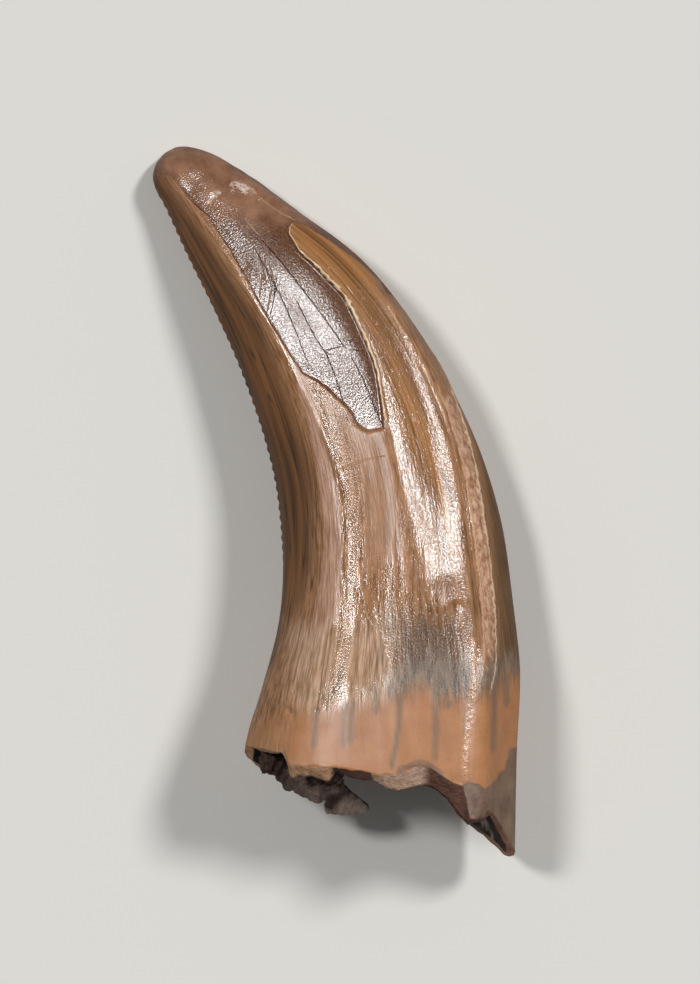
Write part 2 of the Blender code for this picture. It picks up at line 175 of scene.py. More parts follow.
# Lines that can be followed on the upper surface, as (x, y) seen from above.
FLANK_RIDGE = (
    (-7.55, 14.8), (-6.64, 13.43), (-5.5, 11.84), (-4.23, 9.7), (-3.0, 7.75), (-2.0, 5.84),
    (-1.09, 4.02), (-0.27, 2.3), (0.18, 0.7),
)
ENAMEL_EDGE = (
    (-1.95, 12.7), (-2.14, 12.48), (-2.14, 12.16), (-1.68, 11.34), (-0.91, 10.66), (0.09, 9.61),
    (0.45, 9.16), (0.95, 8.16), (1.36, 7.25), (1.73, 6.3), (1.91, 5.57), (2.05, 4.57),
    (2.23, 3.66), (2.55, 2.43), (2.91, 1.39), (3.27, 0.2), (3.68, -0.98), (4.18, -2.34), (4.73, -3.61),
)
MESIAL_RIDGE = (
    (2.14, 9.57), (2.45, 9.11), (3.14, 7.75), (3.59, 6.84), (4.18, 5.25), (4.59, 4.11),
    (5.0, 2.75), (5.41, 1.39), (5.68, 0.02), (5.82, -1.34), (5.91, -2.7), (5.95, -4.52),
)
MESIAL_CARINA = (
    (3.55, 7.75), (4.18, 6.57), (4.73, 5.48), (5.27, 4.11), (5.73, 2.75), (6.09, 1.16),
    (6.41, -0.89), (6.64, -2.7), (6.82, -4.52), (6.91, -6.34), (6.86, -7.7), (6.64, -8.7),
)

# The worn facet and the worn tip: no enamel is left inside this outline.
WORN_OUTLINE = (
    (-9.2, 15.2), (-7.64, 14.85), (-6.86, 13.98), (-6.02, 13.16), (-4.82, 11.34), (-3.9, 9.66),
    (-2.95, 7.93), (-2.14, 6.66), (-1.55, 5.75), (-0.9, 5.4), (-0.5, 5.11), (0.05, 4.57),
    (0.36, 4.3), (0.64, 3.93), (0.86, 3.43), (1.14, 3.2), (1.45, 3.07), (1.82, 3.16), (2.18, 3.2),
    *ENAMEL_EDGE[11::-1], (-1.5, 12.57), (-0.3, 11.85), (1.27, 10.7), (2.0, 9.98), (2.3, 9.4),
    (2.9, 9.3), (3.2, 10.0), (1.5, 12.0), (-1.5, 14.5), (-4.0, 16.5), (-7.6, 17.5), (-9.5, 16.5),
)
FACET_END = (
    (-0.5, 5.11), (0.05, 4.57), (0.36, 4.3), (0.64, 3.93), (0.86, 3.43), (1.45, 3.07), (2.18, 3.2),
)
# The enamel's cream edge round the facet, and its half width where it is seen at each y.
CREAM_RIM = ENAMEL_EDGE[:13] + ((2.18, 3.2),)
RIM_HALF_WIDTHS = (
    (3.2, 0.35), (4.5, 0.5), (6.3, 0.8), (7.2, 1.2), (9.2, 1.3), (9.4, 0.2), (9.65, 1.2), (10.4, 1.1),
    (11.0, 0.5), (12.7, 0.35),
)
# The ledge where the mesial ridge widens, and the rough spot and the stain above it.
LEDGE = (
    (3.5, -4.55), (3.68, -4.7), (4.18, -4.98), (4.66, -5.07), (5.14, -4.8), (5.55, -4.57), (5.95, -4.89),
)
ROUGH_SPOT = (4.5, -3.75)
ROUGH_SPOT_SIZE = (0.75, 0.62)
STAIN = (4.55, -3.75)
STAIN_RADIUS = 0.8
STAIN_SQUASH = 0.8
# Below the facet the enamel is scoured, and less glossy.
SCOURED = (
    (-1.2, 4.6), (-0.3, 4.9), (0.7, 3.9), (1.4, 3.1), (2.3, 3.2), (2.7, 1.4), (3.3, -0.6), (3.3, -2.4),
    (1.3, -2.4), (0.75, 0.0), (0.1, 2.4),
)
# The orange middle of the crown, which is matt.
MIDDLE = ((0.41, 3.43), (2.55, 3.43), (3.0, 1.39), (2.82, -2.7), (1.18, -3.4), (1.18, 1.39))
# The smooth ridge between the dark flank and the middle, with its half width at each length. The enamel
# along it is paler, and lighter still with a painted sheen.
SHEEN_RIDGE = (
    (-2.0, 6.7), (-1.6, 5.6), (-1.1, 4.0), (-0.7, 2.3), (-0.35, 0.7), (-0.15, -1.0), (-0.15, -2.7),
    (-0.4, -4.9), (-1.3, -7.6),
)
SHEEN_HALF_WIDTHS = ((0, 0.05), (1.5, 0.28), (5, 0.36), (8, 0.42), (10, 0.5), (12, 0.6), (14.5, 0.1))
# The pitted, glossy ridge beside it.
GLOSSY_RIDGE = (
    (0.41, 3.66), (0.73, 0.93), (0.73, -2.7), (0.55, -4.5), (0.41, -6.3), (0.09, -8.2), (-0.1, -9.1),
)
# The mesial ridge goes on over the root as a row of pearly beads, along which a paler strip is painted as
# highlight.
ROOT_RIDGE = ((6.2, -6.3), (6.3, -7.5), (6.05, -9.6), (5.85, -11.0), (5.8, -12.4))
# Two low crests by the tip.
TIP_CRESTS = (
    ((-6.0, 14.05), (-5.35, 14.2)),
    ((-4.95, 14.55), (-4.2, 14.3), (-3.3, 13.8)),
)
# The dark flank: the x at which it ends at each y, as far up as the flank ridge's end. From there on it
# keeps the second table's distance from the ridge, and its painted shade, which darkens the flank towards
# its outer edge, keeps the third's inside it.
FLANK_RIDGE_END = 0.7
FLANK_EDGE = ((-10, -4.0), (-7, -2.4), (-4.5, -1.3), (-2.7, -0.8), (FLANK_RIDGE_END, -0.7))
FLANK_GAP = ((FLANK_RIDGE_END, 0.8), (6.5, 0.25), (8.0, 0.05))
SHADE_GAP = ((-10, 2.5), (-6, 1.2), (4, 1.0), (12, 1.2), (16, 2.0))
# Smoky and pale enamel above the grey band: between two values of x, and below one of y.
SMOKE = (2.0, 6.3, -4.9)
PALE = (-2.4, 2.8, -5.4)
# Where the enamel ends and the bare root starts, and where the grey band above it starts.
ROOT_LINE = (
    (-4.5, -10.4), (-3.73, -10.34), (-2.64, -9.8), (-2.05, -9.57), (-1.0, -9.57), (-0.05, -9.3),
    (1.73, -9.16), (2.77, -8.8), (3.09, -8.61), (3.64, -8.43), (4.23, -8.52), (4.64, -9.07),
    (5.5, -8.98), (5.95, -8.8), (6.64, -8.7), (7.14, -8.61), (7.73, -8.02), (8.4, -7.93),
)
BAND_LINE = (
    (-4.5, -9.6), (-1.0, -8.9), (0.2, -7.8), (2.0, -7.6), (2.9, -7.0), (3.8, -6.8), (5.2, -6.9),
    (6.5, -7.25), (7.7, -7.0), (8.4, -6.95),
)
# A grey patch on the root, by its broken lip.
GREY_PATCH = (
    (5.56, -12.95), (5.98, -12.74), (6.4, -12.84), (6.66, -13.05), (6.61, -13.41), (6.76, -13.78),
    (6.82, -14.1), (6.66, -14.3), (6.24, -14.35), (6.03, -14.15), (5.82, -13.73), (5.62, -13.2),
)
# The sharp point that the root is broken to, which is stained grey, and the wall across its hollow.
SHARD = (
    (7.02, -12.74), (7.29, -12.52), (7.34, -12.37), (7.65, -12.16), (7.81, -11.59), (7.86, -11.22),
    (9.5, -11.1), (9.5, -17.0), (7.45, -17.0), (5.7, -15.2), (5.85, -14.2), (6.55, -14.0), (6.5, -13.1),
)
SEPTUM = ((6.3, -13.9), (6.75, -14.7), (7.25, -15.4))
CRACKS = (
    (
        (-3.77, 11.61), (-3.32, 10.75), (-2.77, 9.75), (-2.32, 8.84), (-1.95, 7.93), (-1.64, 7.16),
        (-1.36, 6.43),
    ),
    (
        (-3.41, 11.93), (-2.91, 11.34), (-2.41, 10.75), (-1.64, 9.75), (-0.91, 8.8), (-0.23, 7.84),
        (0.45, 6.89),
    ),
    ((0.68, 6.52), (1.09, 5.75), (1.5, 4.84), (1.86, 3.93), (2.18, 3.25)),
    (
        (-1.82, 9.11), (-1.5, 8.48), (-1.36, 8.16), (-0.95, 7.39), (-0.45, 6.66), (-0.14, 5.89),
        (0.14, 5.07), (0.36, 4.3),
    ),
    ((-0.36, 6.84), (0.32, 7.02)),
    ((0.45, 7.3), (1.09, 7.11)),
    ((0.6, 6.86), (1.14, 6.8)),
    ((-3.0, 8.43), (-2.85, 9.2), (-2.77, 9.89)),
    ((-6.95, 14.0), (-6.2, 13.3), (-5.7, 12.9)),
)
# Painted highlights by the tip: pale spots where the light glints.
TIP_GLINTS = (
    ((-5.85, 13.6), (-5.55, 13.95), (-5.35, 14.1)),
    ((-4.75, 14.4), (-4.35, 14.4), (-4.0, 14.2), (-3.75, 14.0)),
    ((-4.4, 14.25), (-4.1, 14.05)),
)
SCRATCHES = (
    ((-4.05, 11.02), (-4.23, 10.02)),
    ((-3.55, 11.2), (-3.18, 9.89)),
    ((-3.91, 10.84), (-3.95, 9.57)),
    ((-3.36, 10.48), (-3.5, 9.25)),
    ((-3.09, 10.84), (-2.73, 9.57)),
    ((-2.95, 9.7), (-3.15, 8.6)),
    ((0.05, 1.39), (0.64, 1.61), (1.36, 1.84), (2.23, 2.02)),
    ((1.09, -2.66), (1.64, -2.52), (2.32, -2.34)),
    ((1.23, -4.75), (1.73, -5.84)),
    ((1.64, -5.07), (1.95, -5.7)),
    ((2.55, -4.07), (2.64, -4.52), (2.73, -5.07), (2.73, -6.34)),
    ((-5.05, 13.43), (-4.45, 12.66), (-3.82, 11.7)),
    ((-4.23, 12.89), (-3.82, 12.39), (-3.45, 12.0)),
    ((-3.55, 13.84), (-2.5, 13.11), (-1.77, 12.75)),
)
ROOT_STREAKS = (
    ((0.75, -8.9), (0.62, -11.0)),
    ((0.38, -9.0), (0.3, -11.2)),
    ((2.95, -8.2), (2.77, -10.66), (2.5, -12.07)),
    ((4.45, -8.1), (4.52, -9.98), (4.44, -11.8)),
    ((7.16, -8.4), (7.09, -11.39)),
    ((7.75, -7.8), (7.73, -9.39)),
    ((1.79, -8.3), (1.79, -9.66)),
    ((2.47, -8.2), (2.47, -8.98)),
    ((5.05, -8.9), (5.05, -9.39)),
    ((-0.88, -9.2), (-1.0, -11.2)),
    ((6.05, -8.6), (5.85, -10.6)),
)
# A pit in the root line.
PIT = (-2.14, -9.48)
# Painted shadow: a dark line on the outer surface along the top of the broken lip.
LIP_SHADOW = ((2.9, -12.1), (3.3, -11.95), (3.7, -11.8), (4.2, -11.9), (4.7, -12.3))

# Half widths of what is drawn along a line.
RIB_HALF = 0.26
PEARL_HIGHLIGHT_HALF = 0.18
STREAK_HALF = 0.13
LIP_SHADOW_HALF = 0.14
TIP_GLINT_HALF = 0.04
SEPTUM_HALF = 0.16
# The mesial crest has a painted highlight line on each side, which start below this y.
CREST_HIGHLIGHT_ASIDE = 0.3
SEAM_HIGHLIGHT_ASIDE = 0.24
CREST_HIGHLIGHTS_TOP = 5.4
# The smooth cap of the tip starts at this y. The grey band is this much narrower on the distal side,
# which starts between these two x. The rib along the mesial crest narrows away between these two y.
CAP_START = 12.6
BAND_NARROWING = 1.4
BAND_NARROW_SIDE = (4.0, 0.0)
RIB_NARROWING = 0.5
RIB_END = (4.2, 5.5)
# The pale flute keeps this far from the mesial ridge, and the root is dull to the west of this x.
FLUTE_ASIDE = 0.3
DULL_ROOT_EAST = -1.6

# Ridges and grooves of the upper side: the line that each follows, how far to the left of the line
# its middle is, its half width, its height, and how far from the line's ends it is full.
RIDGES = (
    (CREAM_RIM, 0.04, 0.09, 0.06, 0.6),
    (FLANK_RIDGE, 0.05, 0.2, 0.04, 1.0),
    (MESIAL_CARINA, 0.3, 0.09, 0.06, 2.0),
    (MESIAL_CARINA, -0.48, 0.14, -0.06, 2.0),
    (TIP_CRESTS[0], 0.0, 0.27, 0.05, 0.3),
    (TIP_CRESTS[1], 0.0, 0.27, 0.11, 0.3),
)
# Heights and depths of the rest of the relief. The slab's tilt is a rise over a run.
CREST_HEIGHT = 0.12
FACET_DEPTH = 0.05
FACET_FALL = 0.11
SLAB_TILT = 0.04
LEDGE_HEIGHT = 0.05
ROUGH_SPOT_HEIGHT = 0.07
ROOT_STEP = 0.02
PIT_DEPTH = 0.14
PIT_RADIUS = 0.16
# Where relief starts and ends: the values of y, or of the distance from its line, between which it
# comes in from nothing.
STEP_REACH = (2.2, 0.0)
STEP_END = (13.6, 12.4)
SLAB_START = (6.6, 7.6)
SLAB_END = (12.4, 11.4)
SLAB_WIDTH = 1.2
FALL_START = (4.8, 8.4)
FALL_END = (14.5, 9.0)
FALL_ACROSS = (0.0, -2.4)
LEDGE_STEP = (0.1, -0.1)
LEDGE_REACH = (-3.0, -0.3)
TIP_DENTS_START = (12.8, 14.0)
# Unevenness: its height, its size, the share by which each direction counts, so that a small one
# draws it out along the grain, and its place in the noise.
FURROWS = (0.018, 0.45, (1, 1, 0.14), 3.0)
SWELLS = (0.03, 1.6, (1, 1, 0.4), 9.0)
TIP_DENTS = (0.03, 0.6, (1, 1, 1), 5.0)
# The grain is wound round a circle of this radius, so that it meets itself at the seam.
GRAIN_RADIUS = 5.0
# Less than this counts as no width at all.
LEAST_WIDTH = 1e-6


def curve_through(x, y):
    """A smooth curve through the points (x, y), as a function of x, made of cubic pieces."""
    x = np.asarray(x, float)
    y = np.asarray(y, float)
    shape = (-1, *[1] * (y.ndim - 1))
    step = np.diff(x)
    slope = np.diff(y, axis=0) / step.reshape(shape)
    share = (step[1:] / (step[:-1] + step[1:])).reshape(shape)
    tangent = np.concatenate([slope[:1], slope[:-1] * share + slope[1:] * (1 - share), slope[-1:]])

    def at(wanted):
        wanted = np.clip(wanted, x[0], x[-1])
        piece = np.clip(np.searchsorted(x, wanted, side="right") - 1, 0, len(step) - 1)
        length = step[piece].reshape(shape)
        s = ((wanted - x[piece]) / step[piece]).reshape(shape)
        return (
            y[piece] * (2 * s**3 - 3 * s**2 + 1)
            + tangent[piece] * length * (s**3 - 2 * s**2 + s)
            + y[piece + 1] * (3 * s**2 - 2 * s**3)
            + tangent[piece + 1] * length * (s**3 - s**2)
        )

    return at


def edges(station):
    """The distal and the mesial edge at each station, as two arrays of (x, y)."""
    root = np.sqrt(STATIONS)
    distal = curve_through(root, np.column_stack([DISTAL_X, DISTAL_Y]))
    mesial = curve_through(root, np.column_stack([MESIAL_X, MESIAL_Y]))
    return distal(np.sqrt(station)), mesial(np.sqrt(station))


def rails(station):
    """The closed ring of rails at each station, as shares of the half width and the thickness."""
    ring = [np.tile(DISTAL_RAIL, (len(station), 1))]
    for across, height in UPPER_RAILS:
        ring.append(curve_through(RAIL_STATIONS, np.column_stack([across, height]))(station))
    for rail in (MESIAL_RAIL, *LOWER_RAILS):
        ring.append(np.tile(rail, (len(station), 1)))
    return np.stack(ring, axis=1)


def rail_places():
    """Where each column runs, counted in rails from the distal edge."""
    counts = (*UPPER_COLUMNS, *LOWER_COLUMNS)
    places = [rail + np.arange(count) / count for rail, count in enumerate(counts)]
    return np.concatenate([*places, [len(places)]])


def crown_samples():
    """Points of the crown's outer surface, as (SAMPLES, columns + 1, 3), and their stations."""
    station = np.linspace(0, STATIONS[-1], SAMPLES)
    distal, mesial = edges(station)
    middle, half = (distal + mesial) / 2, (mesial - distal) / 2
    thickness = 2 * np.linalg.norm(half, axis=1) * THICKNESS_SHARE
    ring = rails(station)
    places = rail_places()
    points = np.empty((SAMPLES, len(places), 3))
    for row in range(SAMPLES):
        width = max(np.linalg.norm(half[row]), LEAST_WIDTH)
        flat = ring[row] * (width, max(thickness[row], LEAST_WIDTH))
        # Some rails more at each end, so that the closed ring is smooth at its seam.
        around = np.concatenate([flat[-2:], flat, flat[:3]])
        length = np.concatenate([[0], np.cumsum(np.linalg.norm(np.diff(around, axis=0), axis=1))])
        wanted = np.interp(places + 2, np.arange(len(length)), length)
        across, height = curve_through(length, around)(wanted).T
        across = np.clip(across, -width, width)
        points[row, :, :2] = middle[row] + np.outer(across / width, half[row])
        points[row, :, 2] = height
    points[:, :, 2] = np.maximum(points[:, :, 2] - REST_FLAT, 0)
    return station, points


def cavity_samples(station, points):
    """The pulp cavity's wall: the crown's columns drawn in, down to nothing at the apex."""
    depth = np.clip((station - CAVITY_APEX) / (1 - CAVITY_APEX), 0, 1) ** 0.5
    middle = points[:, :-1].mean(axis=1, keepdims=True)
    shares = (CAVITY_WIDTH_SHARE, CAVITY_WIDTH_SHARE, CAVITY_THICKNESS_SHARE)
    return middle + (points - middle) * depth[:, None, None] * shares


def lip_station(station, column, lip):
    """The station at which a column of points reaches a broken lip."""
    above = column[:, 1] - read_off(lip, column[:, 0])
    past = int(np.argmax(above <= 0)) or len(station) - 1
    share = above[past - 1] / max(above[past - 1] - above[past], LEAST_WIDTH)
    return float(station[past - 1] + np.clip(share, 0, 1) * (station[past] - station[past - 1]))


def column_rows(station, outer, inner, lip, inner_lip):
    """One column of the whole closed surface: tip, crown, root, broken rim, and up the hollow."""
    end = lip_station(station, outer, lip)
    inner_end = lip_station(station, inner, inner_lip)
    tip = TIP_SHARE * (np.arange(TIP_ROWS) / TIP_ROWS) ** 2
    crown = np.linspace(TIP_SHARE, CROWN_END, CROWN_ROWS + 1)[:-1]
    root = np.linspace(CROWN_END, end, ROOT_ROWS + 1)
    mouth = np.linspace(inner_end, CAVITY_MOUTH, MOUTH_ROWS + 1)[:-1]
    hollow = np.linspace(CAVITY_MOUTH, CAVITY_APEX, CAVITY_ROWS + 1)

    def along(points, at):
        return np.column_stack([np.interp(at, station, points[:, axis]) for axis in range(3)])

    outside = along(outer, np.concatenate([tip, crown, root]))
    inner_wall = along(inner, np.concatenate([mouth, hollow]))
    across = np.linspace(0, 1, RIM_ROWS + 1)[1:-1, None]
    rim = outside[-1] * (1 - across) + inner_wall[0] * across
    return np.concatenate([outside, rim, inner_wall])


def tooth_rows():
    """The whole closed surface as (rows, columns + 1, 3)."""
    station, outer = crown_samples()
    inner = cavity_samples(station, outer)
    front = sum(UPPER_COLUMNS)
    back_inner = [(x, y + BACK_INNER_LIP_RISE) for x, y in BACK_LIP]
    columns = []
    for index in range(outer.shape[1] - 1):
        lips = (FRONT_LIP, FRONT_INNER_LIP) if index <= front else (BACK_LIP, back_inner)
        columns.append(column_rows(station, outer[:, index], inner[:, index], *lips))
    columns.append(columns[0])
    rows = np.stack(columns, axis=1)
    rows[-1] = rows[-1].mean(axis=0)
    return rows


def read_off(table, first):
    """The second value of a table of pairs, at the first one."""
    return np.interp(first, *zip(*table))


def smooth(none, full, value):
    """0 at none, 1 at full, and a smooth change between."""
    share = np.clip((value - none) / (full - none), 0, 1)
    return share * share * (3 - 2 * share)


def swell(value, width):
    """1 at zero, and falling away to both sides over about the width."""
    return np.exp(-((value / width) ** 2))


def uneven(points, height, size, stretch, seed):
    """Smooth unevenness of about the given height and size, one value for each point."""
    flat = (points * stretch).reshape(-1, 3) / size + seed
    bumps = np.array([noise.noise(Vector(place)) for place in flat])
    return height * bumps.reshape(points.shape[:-1])


def beside(line, x, y):
    """How far each place is from a line, positive on the left of somebody who follows it from its
    start, how far along it is, and how far from its nearer end."""
    points = np.array(line, float)
    nearest = np.full(x.shape, np.inf)
    away = np.zeros(x.shape)
    along = np.zeros(x.shape)
    walked = 0.0
    for start, end in zip(points[:-1], points[1:]):
        run = end - start
        length = float(np.hypot(*run))
        offset_x, offset_y = x - start[0], y - start[1]
        share = np.clip((offset_x * run[0] + offset_y * run[1]) / length**2, 0, 1)
        distance = np.hypot(offset_x - share * run[0], offset_y - share * run[1])
        side = np.where(run[0] * offset_y - run[1] * offset_x < 0, -1, 1)
        closer = distance < nearest
        nearest = np.where(closer, distance, nearest)
        away = np.where(closer, distance * side, away)
        along = np.where(closer, walked + share * length, along)
        walked += length
    return away, along, np.minimum(along, walked - along)


def inside(outline, x, y):
    """How far inside a closed outline each place is, negative outside it."""
    ring = np.array([*outline, outline[0]], float)
    distance = np.abs(beside(ring, x, y)[0])
    crossings = np.zeros(x.shape, int)
    for (x0, y0), (x1, y1) in zip(ring[:-1], ring[1:]):
        if y0 == y1:
            continue
        straddles = (y0 > y) != (y1 > y)
        crossings += straddles & (x < (x1 - x0) * (y - y0) / (y1 - y0) + x0)
    return np.where(crossings % 2, distance, -distance)


def within(limits, x, y):
    """How far inside a strip each place is that has a west, an east and a north limit."""
    west, east, north = limits
    return np.minimum(np.minimum(north - y, x - west), east - x)


def drawn(lines, x, y):
    """For each place, the line of the set that is nearest: how far aside it is, how far away, and how
    far from its nearer end."""
    across = np.full(x.shape, np.inf)
    taper = np.zeros(x.shape)
    for line in lines:
        away, _, end = beside(line, x, y)
        closer = np.abs(away) < np.abs(across)
        across = np.where(closer, away, across)
        taper = np.where(closer, end, taper)
    return np.stack([across, np.abs(across), taper], axis=-1)


def outward(rows):
    """The surface's direction at each point of the closed rows, facing out."""
    around = np.empty_like(rows)
    around[:, 1:-1] = rows[:, 2:] - rows[:, :-2]
    around[:, 0] = around[:, -1] = rows[:, 1] - rows[:, -2]
    along = np.gradient(rows, axis=0)
    facing = np.cross(along, around)
    facing /= np.maximum(np.linalg.norm(facing, axis=2, keepdims=True), 1e-12)
    middle = rows[len(rows) // 2, :-1].mean(axis=0)
    inward = (facing[len(rows) // 2] * (rows[len(rows) // 2] - middle)).sum() < 0
    return -facing if inward else facing


def on_top(depth, at):
    """How far inside a zone of the upper side each place is: the lower side is outside it."""
    return depth * at.up - (1 - at.up)


def survey(outer):
    """Where each place of the outer surface lies: round the crown and along it, and beside the lines
    that more than one mark keeps to."""
    x, y = outer[..., 0], outer[..., 1]
    facing = outward(outer)
    steps = np.linalg.norm(np.diff(outer, axis=1), axis=2)
    around = np.concatenate([np.zeros((OUTER_ROWS, 1)), np.cumsum(steps, axis=1)], axis=1)
    girth = np.maximum(around[:, -1:], LEAST_WIDTH)
    centre = outer[:, :-1].mean(axis=1)
    walked = np.cumsum(np.linalg.norm(np.diff(centre, axis=0), axis=1))
    length = np.concatenate([[0], walked])[:, None]
    turn = 2 * np.pi * around / girth
    wrapped = (GRAIN_RADIUS * np.cos(turn), GRAIN_RADIUS * np.sin(turn))
    at = SimpleNamespace(x=x, y=y, facing=facing, length=length)
    # 1 on the upper side and 0 on the lower one.
    at.up = smooth(-0.1, 0.15, facing[..., 2])
    at.from_edge = np.minimum(around, girth - around)
    at.grain = np.stack([*wrapped, np.broadcast_to(length, x.shape)], axis=-1)
    at.worn = on_top(inside(WORN_OUTLINE, x, y), at)
    at.enamel, _, _ = beside(ENAMEL_EDGE, x, y)
    at.rim, _, at.rim_end = beside(CREAM_RIM, x, y)
    at.ridge, _, _ = beside(FLANK_RIDGE, x, y)
    at.mesial, _, at.mesial_end = beside(MESIAL_RIDGE, x, y)
    at.carina, at.carina_run, at.carina_end = beside(MESIAL_CARINA, x, y)
    at.root = read_off(ROOT_LINE, x) - y
    return at


def relief_of(outer, at):
    """How far each place of the outer surface stands out."""
    x, y = at.x, at.y
    beads = 0.5 + 0.5 * np.cos(2 * np.pi * at.length / DENTICLE_PITCH)
    row = smooth(*DENTICLES_START, at.length) * smooth(*DENTICLES_END, at.length)
    denticles = DENTICLE_HEIGHT * swell(at.from_edge, DENTICLE_HALF_WIDTH)
    relief = denticles * (NOTCH_SHARE + (1 - NOTCH_SHARE) * beads) * row

    top = np.zeros(x.shape)
    for line, aside, half, height, fade in RIDGES:
        away, _, end = beside(line, x, y)
        top += height * swell(away - aside, half) * smooth(0, fade, end)
    # The mesial crest has the traces of worn denticles.
    ticks = 0.8 + 0.2 * np.cos(2 * np.pi * at.carina_run / DENTICLE_PITCH)
    top += CREST_HEIGHT * swell(at.carina - 0.02, 0.2) * ticks * smooth(0, 2.0, at.carina_end)
    # The facet is a step below the enamel, and comes level with it farther in and at the tip.
    worn = smooth(-0.02, 0.1, at.worn)
    border = np.minimum(np.abs(at.rim), np.abs(beside(FACET_END, x, y)[0]))
    top -= FACET_DEPTH * worn * smooth(*STEP_REACH, border) * smooth(*STEP_END, y)
    # The slab between the second crack and the rim is tilted towards the rim.
    slab, _, _ = beside(CRACKS[1], x, y)
    tilt = SLAB_TILT * np.clip(slab, 0, SLAB_WIDTH)
    top -= tilt * worn * smooth(*SLAB_START, y) * smooth(*SLAB_END, y)
    # The facet falls away a little towards the tip.
    top -= FACET_FALL * smooth(*FALL_START, y) * smooth(*FALL_END, y) * smooth(*FALL_ACROSS, at.enamel)
    # Below the ledge the surface is full, and then falls back.
    ledge, _, end = beside(LEDGE, x, y)
    top += LEDGE_HEIGHT * smooth(*LEDGE_STEP, ledge) * smooth(*LEDGE_REACH, ledge) * smooth(0, 0.5, end)
    # The rough spot is a hollow on the tip's side and a swelling on the root's.
    u = (x - ROUGH_SPOT[0]) / ROUGH_SPOT_SIZE[0]
    v = (y - ROUGH_SPOT[1]) / ROUGH_SPOT_SIZE[1]
    top -= ROUGH_SPOT_HEIGHT * v * np.exp(-(u**2) - v**2)
    top -= PIT_DEPTH * swell(np.hypot(x - PIT[0], y - PIT[1]), PIT_RADIUS)

    relief += at.up * top
    relief -= ROOT_STEP * smooth(-0.5, 0.5, at.root)
    relief += uneven(at.grain, *FURROWS) * smooth(0.0, 0.5, -at.worn)
    relief += uneven(at.grain, *SWELLS)
    relief += uneven(outer, *TIP_DENTS) * smooth(*TIP_DENTS_START, y)
    return relief


def zone_depths(at):
    """How far inside each zone of the finish each place is."""
    x, y, root = at.x, at.y, at.root
    above = -at.ridge - read_off(FLANK_GAP, y)
    flank = np.where(y < FLANK_RIDGE_END, read_off(FLANK_EDGE, y) - x, above)
    # satin is how far aside of the sheen ridge each place is: the pale strip along it carries a painted
    # sheen.
    satin, sheen_run, _ = beside(SHEEN_RIDGE, x, y)
    streaks = drawn(ROOT_STREAKS, x, y)
    strip, _, _ = beside(ROOT_RIDGE, x, y)
    lip_shadow, _, _ = beside(LIP_SHADOW, x, y)
    return {
        "worn_and_pit_shade_mm": at.worn,
        "cap_mm": np.minimum(at.worn, y - CAP_START),
        "flank_mm": flank,
        "shade_mm": flank - read_off(SHADE_GAP, y),
        "pale_sheen_mm": on_top(read_off(SHEEN_HALF_WIDTHS, sheen_run) - np.abs(satin), at),
        "flute_mm": on_top(np.minimum(at.enamel, -FLUTE_ASIDE - at.mesial), at),
        "beyond_shade_mm": np.minimum(at.carina - CREST_HIGHLIGHT_ASIDE - 0.05, at.carina_run - 0.5),
        "rib_and_highlight_mm": on_top(RIB_HALF - np.abs(at.carina) - RIB_NARROWING * smooth(*RIB_END, y), at),
        "smoke_mm": within(SMOKE, x, y),
        "pale_mm": within(PALE, x, y),
        "band_mm": read_off(BAND_LINE, x) - y - BAND_NARROWING * smooth(*BAND_NARROW_SIDE, x),
        "root_mm": root,
        "dull_mm": np.minimum(root, DULL_ROOT_EAST - x),
        "streak_mm": STREAK_HALF * np.minimum(1, streaks[..., 2] / 0.2) - streaks[..., 1],
        "patch_mm": on_top(inside(GREY_PATCH, x, y), at),
        "shard_mm": inside(SHARD, x, y),
        "rubbed_mm": on_top(inside(SCOURED, x, y), at),
        "middle_mm": on_top(inside(MIDDLE, x, y), at),
        "pearl_highlight_mm": on_top(PEARL_HIGHLIGHT_HALF - np.abs(strip), at),
        "lip_shadow_mm": LIP_SHADOW_HALF - np.abs(lip_shadow) - (1 - at.up),
        "tip_glint_mm": TIP_GLINT_HALF - drawn(TIP_GLINTS, x, y)[..., 1],
        "stain_mm": STAIN_RADIUS - np.hypot(x - STAIN[0], (y - STAIN[1]) / STAIN_SQUASH),
    }


def tooth_marks(at):
    """What the finish needs to know about each place: the grain, how far inside each zone and beside
    each drawn line it is, and how strong each kind of fine relief is there."""
    x, y = at.x, at.y
    zones = zone_depths(at)
    strip, _, _ = beside(ROOT_RIDGE, x, y)
    glossy, _, _ = beside(GLOSSY_RIDGE, x, y)
    # crest and seam are where the two painted highlight lines beside the mesial crest run.
    crest = at.carina - CREST_HIGHLIGHT_ASIDE
    seam = at.carina + SEAM_HIGHLIGHT_ASIDE
    highlights_end = np.maximum(np.minimum(at.carina_end, CREST_HIGHLIGHTS_TOP - y), 0)
    open_crown = smooth(-0.1, 0.4, at.ridge) * smooth(0.4, -0.6, at.root)
    # The speckle is strong on the open crown and along its ridges, and weak on the rest. The grooves
    # are worn off the facet and weak on the root.
    return {
        **zones,
        "grain": at.grain,
        "speckle": 0.1
        + 0.9 * open_crown * smooth(0.3, -0.2, zones["middle_mm"])
        + 0.3 * swell(at.mesial, 0.22) * smooth(0, 0.6, at.mesial_end)
        + 0.8 * swell(at.carina, 0.25)
        + 1.1 * swell(glossy, 0.3),
        "beaded": swell(at.mesial, 0.35) * smooth(0, 0.4, at.mesial_end) + 1.3 * swell(strip, 0.25),
        "grooved": (1 - 0.85 * smooth(-0.05, 0.1, at.worn)) * (1 - 0.75 * smooth(-0.2, 0.6, at.root)),
        "crest_highlight_mm": np.stack([crest, np.abs(crest) + 1 - at.up, highlights_end], axis=-1),
        "seam_highlight_mm": np.stack([seam, np.abs(seam), highlights_end], axis=-1),
        "rim_mm": np.stack(
            [(at.rim - 0.03) / read_off(RIM_HALF_WIDTHS, y), np.abs(at.rim), at.rim_end], axis=-1
        ),
        "cracks": drawn(CRACKS, x, y),
        "scratches": drawn(SCRATCHES, x, y),
    }


